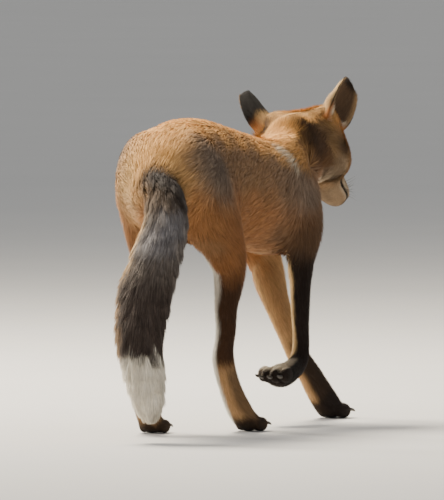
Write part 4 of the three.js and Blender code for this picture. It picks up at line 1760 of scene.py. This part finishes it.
@dataclass
class Eye:
    """An eyeball with a clear bulge, an amber iris and an upright slit of a pupil.

    The ball's radius at an angle w from the gaze is R (1 + bulge S(w)), S falling from one to
    nought between 25 and 40 degrees. The iris and the pupil are measured square to the gaze,
    over the radius.

    Args:
        side: which eye.
        bulge: how far the clear front stands out, over the radius.
        iris: the iris's half width.
        pupil: the pupil's half width and half height.
        rows: how many rings the ball has.
        columns: how many points a ring has.
    """

    side: str
    bulge: float = 0.05
    iris: float = 0.57
    pupil: Tuple[float, float] = (0.19, 0.46)
    rows: int = 72
    columns: int = 96

    def build(self, material: bpy.types.Material) -> bpy.types.Object:
        """The eyeball in place of its node."""
        out = SIDES[self.side]
        gaze = unit(head_spot(GAZE, out))
        up = square_to(np.array([0.0, 0.42, 1.0]), gaze)
        wide = np.cross(gaze, up)
        swing, turn = round_grid(self.rows, self.columns, 0.004)
        a, b, c = np.sin(swing) * np.cos(turn), np.sin(swing) * np.sin(turn), np.cos(swing)
        grow = EYE_RADIUS * (1 + self.bulge * smooth(np.degrees(swing), 40, 25))
        points = (a[..., None] * wide + b[..., None] * up + c[..., None] * gaze) * grow[..., None]
        points = points.reshape(-1, 3) + head_spot(EYE_AT, out)
        last = (self.rows - 1) * self.columns
        ends = points[[0, last]] * 0.5 + points[[self.columns // 2, last + self.columns // 2]] * 0.5
        points, faces = np.concatenate([points, ends]), ring_faces(self.rows, self.columns)
        a, b = np.append(a.ravel(), [0, 0]), np.append(b.ravel(), [0, 0])
        front = np.append(c.ravel(), [1, -1]) > 0
        r, round_gaze = np.hypot(a, b), np.arctan2(b, a)
        rays = 0.8 + 0.25 * np.sin(round_gaze * 34) * np.sin(round_gaze * 21 + 1)
        c = over(flat_tone(EYE_WHITE, len(points)), IRIS, front * smooth(r, 0.60, 0.53))
        c = c * (1 + (rays - 0.9)[:, None] * 0.6 * (r < 0.6)[:, None])
        c = over(c, IRIS_RIM, front * smooth(np.abs(r - self.iris), 0.08, 0.0))
        slit = np.hypot(a / self.pupil[0], b / self.pupil[1])
        c = over(c, PUPIL, front * smooth(slit, 1.1, 0.85))
        body = head_to_body(points)
        piece = new_piece("eyeball_" + self.side, body, outward(body, faces), np.clip(c, 0, 1))
        return fit_out(piece, material, "eye", "eye_" + self.side)


@dataclass
class Nose:
    """The nose leather: an egg, squared a little, with two comma nostrils and a groove between them.

    Each point of the egg moves in by a sum of bells: two to each nostril, the second at the side
    and further back, and a narrow one down the middle.

    Args:
        half: its half width, half length and half height.
        at: how far ahead and up it is, in the head's frame.
        rows: how many rings it has.
        columns: how many points a ring has.
    """

    half: Tuple[float, float, float] = (8.5, 6.5, 6.5)
    at: Tuple[float, float] = (117.0, -45.0)
    rows: int = 70
    columns: int = 110

    def build(self, material: bpy.types.Material) -> bpy.types.Object:
        """The nose in place of its node."""
        swing, turn = round_grid(self.rows, self.columns, 0.01)
        soft = lambda v, power: np.sign(v) * np.abs(v) ** power
        x = soft(np.sin(swing) * np.cos(turn), 0.85)
        z = soft(np.sin(swing) * np.sin(turn), 0.85)
        y = -soft(np.cos(swing), 0.9)
        front = smooth(-y, -0.2, 0.5)
        narrow = 1 - 0.28 * smooth(z, 0.1, -1.0)
        dent = np.zeros_like(x)
        for side in SIDES.values():
            across = side * x - 0.46
            high = z + 0.02 - 0.25 * across
            dent += 0.42 * np.exp(-((across / 0.20) ** 2) - (high / 0.24) ** 2) * front
            comma = np.exp(-(((side * x - 0.80) / 0.22) ** 2) - ((z + 0.16) / 0.12) ** 2)
            dent += 0.22 * comma * smooth(-y, -0.5, 0.0)
        dent += 0.10 * np.exp(-((x / 0.055) ** 2)) * smooth(z, 0.45, 0.0) * front
        size = 1 - dent
        wide, long, high = self.half
        points = np.stack([x * narrow * wide * size, y * long * size, z * high * size], -1)
        points = points.reshape(-1, 3) + place(0, *self.at)
        ends = np.stack([points[: self.columns].mean(0), points[-self.columns :].mean(0)])
        body = head_to_body(np.concatenate([points, ends]))
        faces = outward(body, ring_faces(self.rows, self.columns))
        shade = flat_tone(NOSE, len(body))
        # painted shade: darker in the nostrils and the groove between them
        shade *= np.append(1 - 0.9 * np.clip(dent.ravel() * 2.2, 0, 1), [1, 1])[:, None]
        return fit_out(new_piece("nose_leather", body, faces, shade), material, "nose_leather", "nose")


@dataclass
class Tube:
    """A closed tapering tube carried along a path, round or deeper than it is wide."""

    path: Array
    wide: Array
    deep: Array
    sides: int = 10

    def mesh(self) -> Tuple[Array, Array]:
        """Its points and triangles, with both ends closed to a point.

        At each place of the path a ring of cos and sin stands square to it, times its half
        width and half depth.
        """
        ahead = unit(np.gradient(self.path, axis=0))
        up = np.array([0.0, 0.0, 1.0]) if abs(ahead[0, 2]) < 0.9 else np.array([0.0, 1.0, 0.0])
        side = unit(np.cross(ahead, up))
        high = np.cross(side, ahead)
        angle = np.linspace(0, 2 * math.pi, self.sides, endpoint=False)
        rings = (
            self.path[:, None]
            + self.wide[:, None, None] * np.cos(angle)[None, :, None] * side[:, None]
            + self.deep[:, None, None] * np.sin(angle)[None, :, None] * high[:, None]
        )
        points = np.concatenate([rings.reshape(-1, 3), self.path[[0, -1]]])
        return points, outward(points, ring_faces(len(self.path), self.sides))


def merged(tubes: Sequence[Tube]) -> Tuple[Array, Array]:
    """Several tubes as one mesh."""
    meshes = [tube.mesh() for tube in tubes]
    starts = np.cumsum([0] + [len(points) for points, _ in meshes[:-1]])
    return (
        np.concatenate([points for points, _ in meshes]),
        np.concatenate([faces + start for (_, faces), start in zip(meshes, starts)]),
    )


@dataclass
class Claws:
    """Sixteen claws: each bends down as it leaves its toe, deeper than it is wide.

    Args:
        radius: a claw's half depth at its root.
        length: how far it leaves its toe.
        drop: how far its tip bends down.
    """

    radius: float = 1.9
    length: float = 8.0
    drop: float = 2.6

    def build(self, material: bpy.types.Material) -> bpy.types.Object:
        """All the claws in one piece, in place of their nodes."""
        tubes, nodes = [], []
        t = np.linspace(-0.35, 1, 16)
        for name, pose in PAWS.items():
            axes = paw_axes(pose)
            start = TOE_HALF[1] * pose.size + 0.5
            for number, (across, ahead) in enumerate(TOES, 1):
                ahead_of_toe, up = start + t * self.length, 1 - self.drop * np.abs(t) * t
                along = np.stack([np.zeros_like(t), ahead_of_toe, up], 1)
                centre = np.array([across, ahead, -3.0]) * pose.size
                path = pose.ball + (along + centre) @ axes.T
                taper = np.sqrt(np.clip(1 - np.clip(t, 0, 1) ** 1.6, 0.003, 1))
                tubes.append(Tube(path, self.radius * 0.72 * taper, self.radius * taper, 12))
                nodes.append(f"{name}_claw_{number}")
        points, faces = merged(tubes)
        points[:, 2] = np.maximum(points[:, 2], 0.1)
        return fit_out(new_piece("claws", points, faces), material, "claw_horn", *nodes)


@dataclass
class Whiskers:
    """Stiff dark whiskers from both lips, swept back and out in a shallow arc.

    Args:
        each: how many each side has.
        seed: what their chance starts from.
    """

    each: int = 12
    seed: int = 77

    def build(self, material: bpy.types.Material) -> bpy.types.Object:
        """All the whiskers in one piece."""
        chance = np.random.default_rng(self.seed)
        t = np.linspace(0, 1, 9)[:, None]
        tubes = []
        for side in SIDES.values():
            for k in range(self.each):
                row, column = k % 3, k // 3
                start = np.array([side * (13.5 + 1.3 * column), -(104 - 6.0 * column), -47 - 4.0 * row])
                way = unit(np.array([side * (0.85 + 0.1 * column), 0.75 - 0.12 * row, -0.12 - 0.22 * row]))
                way = unit(way + chance.normal(size=3) * 0.07)
                long = chance.uniform(24, 40)
                bend = np.array([side * -0.10, 0.22, -0.10])
                path = start + way * t * long + bend * long * t**2
                taper = (0.21 * (1 - t[:, 0] * 0.85)).clip(0.03)
                tubes.append(Tube(head_to_body(path), taper, taper, 5))
        points, faces = merged(tubes)
        return fit_out(new_piece("whiskers", points, faces), material, "black_coat")


# ------------------------------------------------------------------ the studio


@dataclass
class Studio:
    """Floor, lights and camera.

    Args:
        around: how far the camera stands to the right of straight behind the fox, in degrees.
        above: how far it stands above the fox's level, in degrees.
        distance: how far off it stands, in metres.
        pixel: how much one of the image's pixels spans at the fox.
        anchor: a place of the fox.
        anchor_pixel: the pixel that it falls on, from the image's top left.
        sensor: the height of the camera's sensor, in mm.
    """

    around: float = 25.0
    above: float = 2.5
    distance: float = 18.0
    pixel: float = 0.00113
    anchor: Tuple[float, float, float] = (0.0004, 0.1743, 0.300)
    anchor_pixel: Tuple[float, float] = (152.0, 172.0)
    sensor: float = 36.0

    def stand(self, name: str, data: bpy.types.ID, right: Array, back: Array,
              spot: Array) -> bpy.types.Object:
        """A camera or a lamp at a spot, with its right side and its back turned certain ways."""
        axes = np.eye(4)
        axes[:3] = np.stack([right, np.cross(back, right), back, spot], 1)
        made = linked(name, data)
        made.matrix_world = axes.T.tolist()
        return made

    def camera(self) -> None:
        """Places the camera so that the anchor falls on its pixel."""
        side, rise = math.radians(self.around), math.radians(self.above)
        back = np.array([-math.sin(side) * math.cos(rise), math.cos(side) * math.cos(rise), math.sin(rise)])
        right = np.array([-math.cos(side), -math.sin(side), 0.0])
        shift_x = (IMAGE[0] / 2 - self.anchor_pixel[0]) * self.pixel
        shift_y = (IMAGE[1] / 2 - self.anchor_pixel[1]) * self.pixel
        target = np.array(self.anchor) + right * shift_x - np.cross(back, right) * shift_y
        data = bpy.data.cameras.new("camera")
        data.sensor_fit, data.sensor_height = "VERTICAL", self.sensor
        data.lens = self.distance / self.pixel * self.sensor / IMAGE[1]
        data.clip_start, data.clip_end = 0.1, 300.0
        bpy.context.scene.camera = self.stand("camera", data, right, back, target + back * self.distance)

    def floor(self) -> None:
        """A wide floor."""
        mesh = bpy.data.meshes.new("floor")
        corners = [(-140, -180, 0), (140, -180, 0), (140, 60, 0), (-140, 60, 0)]
        mesh.from_pydata(corners, [], [(0, 1, 2, 3)])
        mesh.materials.append(FloorFinish().make())
        linked("floor", mesh)

    def area(self, name: str, spot: Sequence[float], size: float, power: float, tone: Tone) -> None:
        """A square lamp at a spot, facing the fox."""
        data = bpy.data.lights.new(name, "AREA")
        data.size, data.energy, data.color = size, power, tone
        back = unit(np.array(spot) - np.array([0.0, 0.0, 0.2]))
        self.stand(name, data, unit(np.cross([0.0, 0.0, 1.0], back)), back, np.array(spot))

    def lights(self) -> None:
        """A warm high key and a low one from the fox's left, a weak fill and an even room."""
        self.area("key", (1.3, -0.8, 2.75), 1.2, 270.0, (1.0, 0.90, 0.74))
        self.area("edge", (2.4, -0.1, 0.9), 0.7, 60.0, (1.0, 0.93, 0.82))
        self.area("fill", (-1.6, 2.8, 1.3), 2.4, 8.0, (0.96, 0.97, 1.0))
        world = bpy.data.worlds.new("room")
        world.use_nodes = True
        room = world.node_tree.nodes["Background"].inputs
        room["Color"].default_value = (0.84, 0.85, 0.86, 1.0)
        room["Strength"].default_value = 0.58
        bpy.context.scene.world = world

    def build(self) -> None:
        """Everything."""
        self.camera()
        self.floor()
        self.lights()


@dataclass
class Fox:
    """The whole fox: skin, coat, eyes, nose, claws and whiskers.

    Args:
        step: the step of the field's grid, in mm.
        kept: words in the names of the nodes that the skin doesn't stand for.
    """

    step: float = 3.0
    kept: Tuple[str, ...] = ("eye", "nose", "claw")

    def flesh(self) -> List[str]:
        """The nodes that the skin stands for: all but the eyes, the nose and the claws."""
        return [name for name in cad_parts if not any(word in name for word in self.kept)]

    def build(self) -> None:
        """Builds every piece in order."""
        body = BodyField()
        grid = FieldGrid(body, self.step)
        skin = Skin(body, grid).build()
        fur = FurFinish("fur").make()
        hide = FurFinish("hide", 0.8, 0.0006).make()
        piece = new_piece("skin", skin.points, skin.triangles, skin.tint * 0.8)
        fit_out(piece, hide, "russet_coat", *self.flesh())
        for region, cut in CUTS.items():
            Tufts(region, skin, grid, cut).build(fur)
        glass = GlossFinish("eye_glass", None, 0.12, 0.7).make()
        for side in SIDES:
            Eye(side).build(glass)
        Nose().build(GlossFinish("nose_skin", None, 0.38, 0.25, 1500.0, 0.00025).make())
        Claws().build(GlossFinish("horn", HORN, 0.35, 0.1, 700.0, 0.00004).make())
        Whiskers().build(GlossFinish("whisker_hair", WHISKER, 0.45).make())


def main() -> None:
    """Builds the studio and the fox."""
    logging.basicConfig(level=logging.INFO, format="%(name)s %(message)s")
    Studio().build()
    Fox().build()


if __name__ == "__main__":
    main()
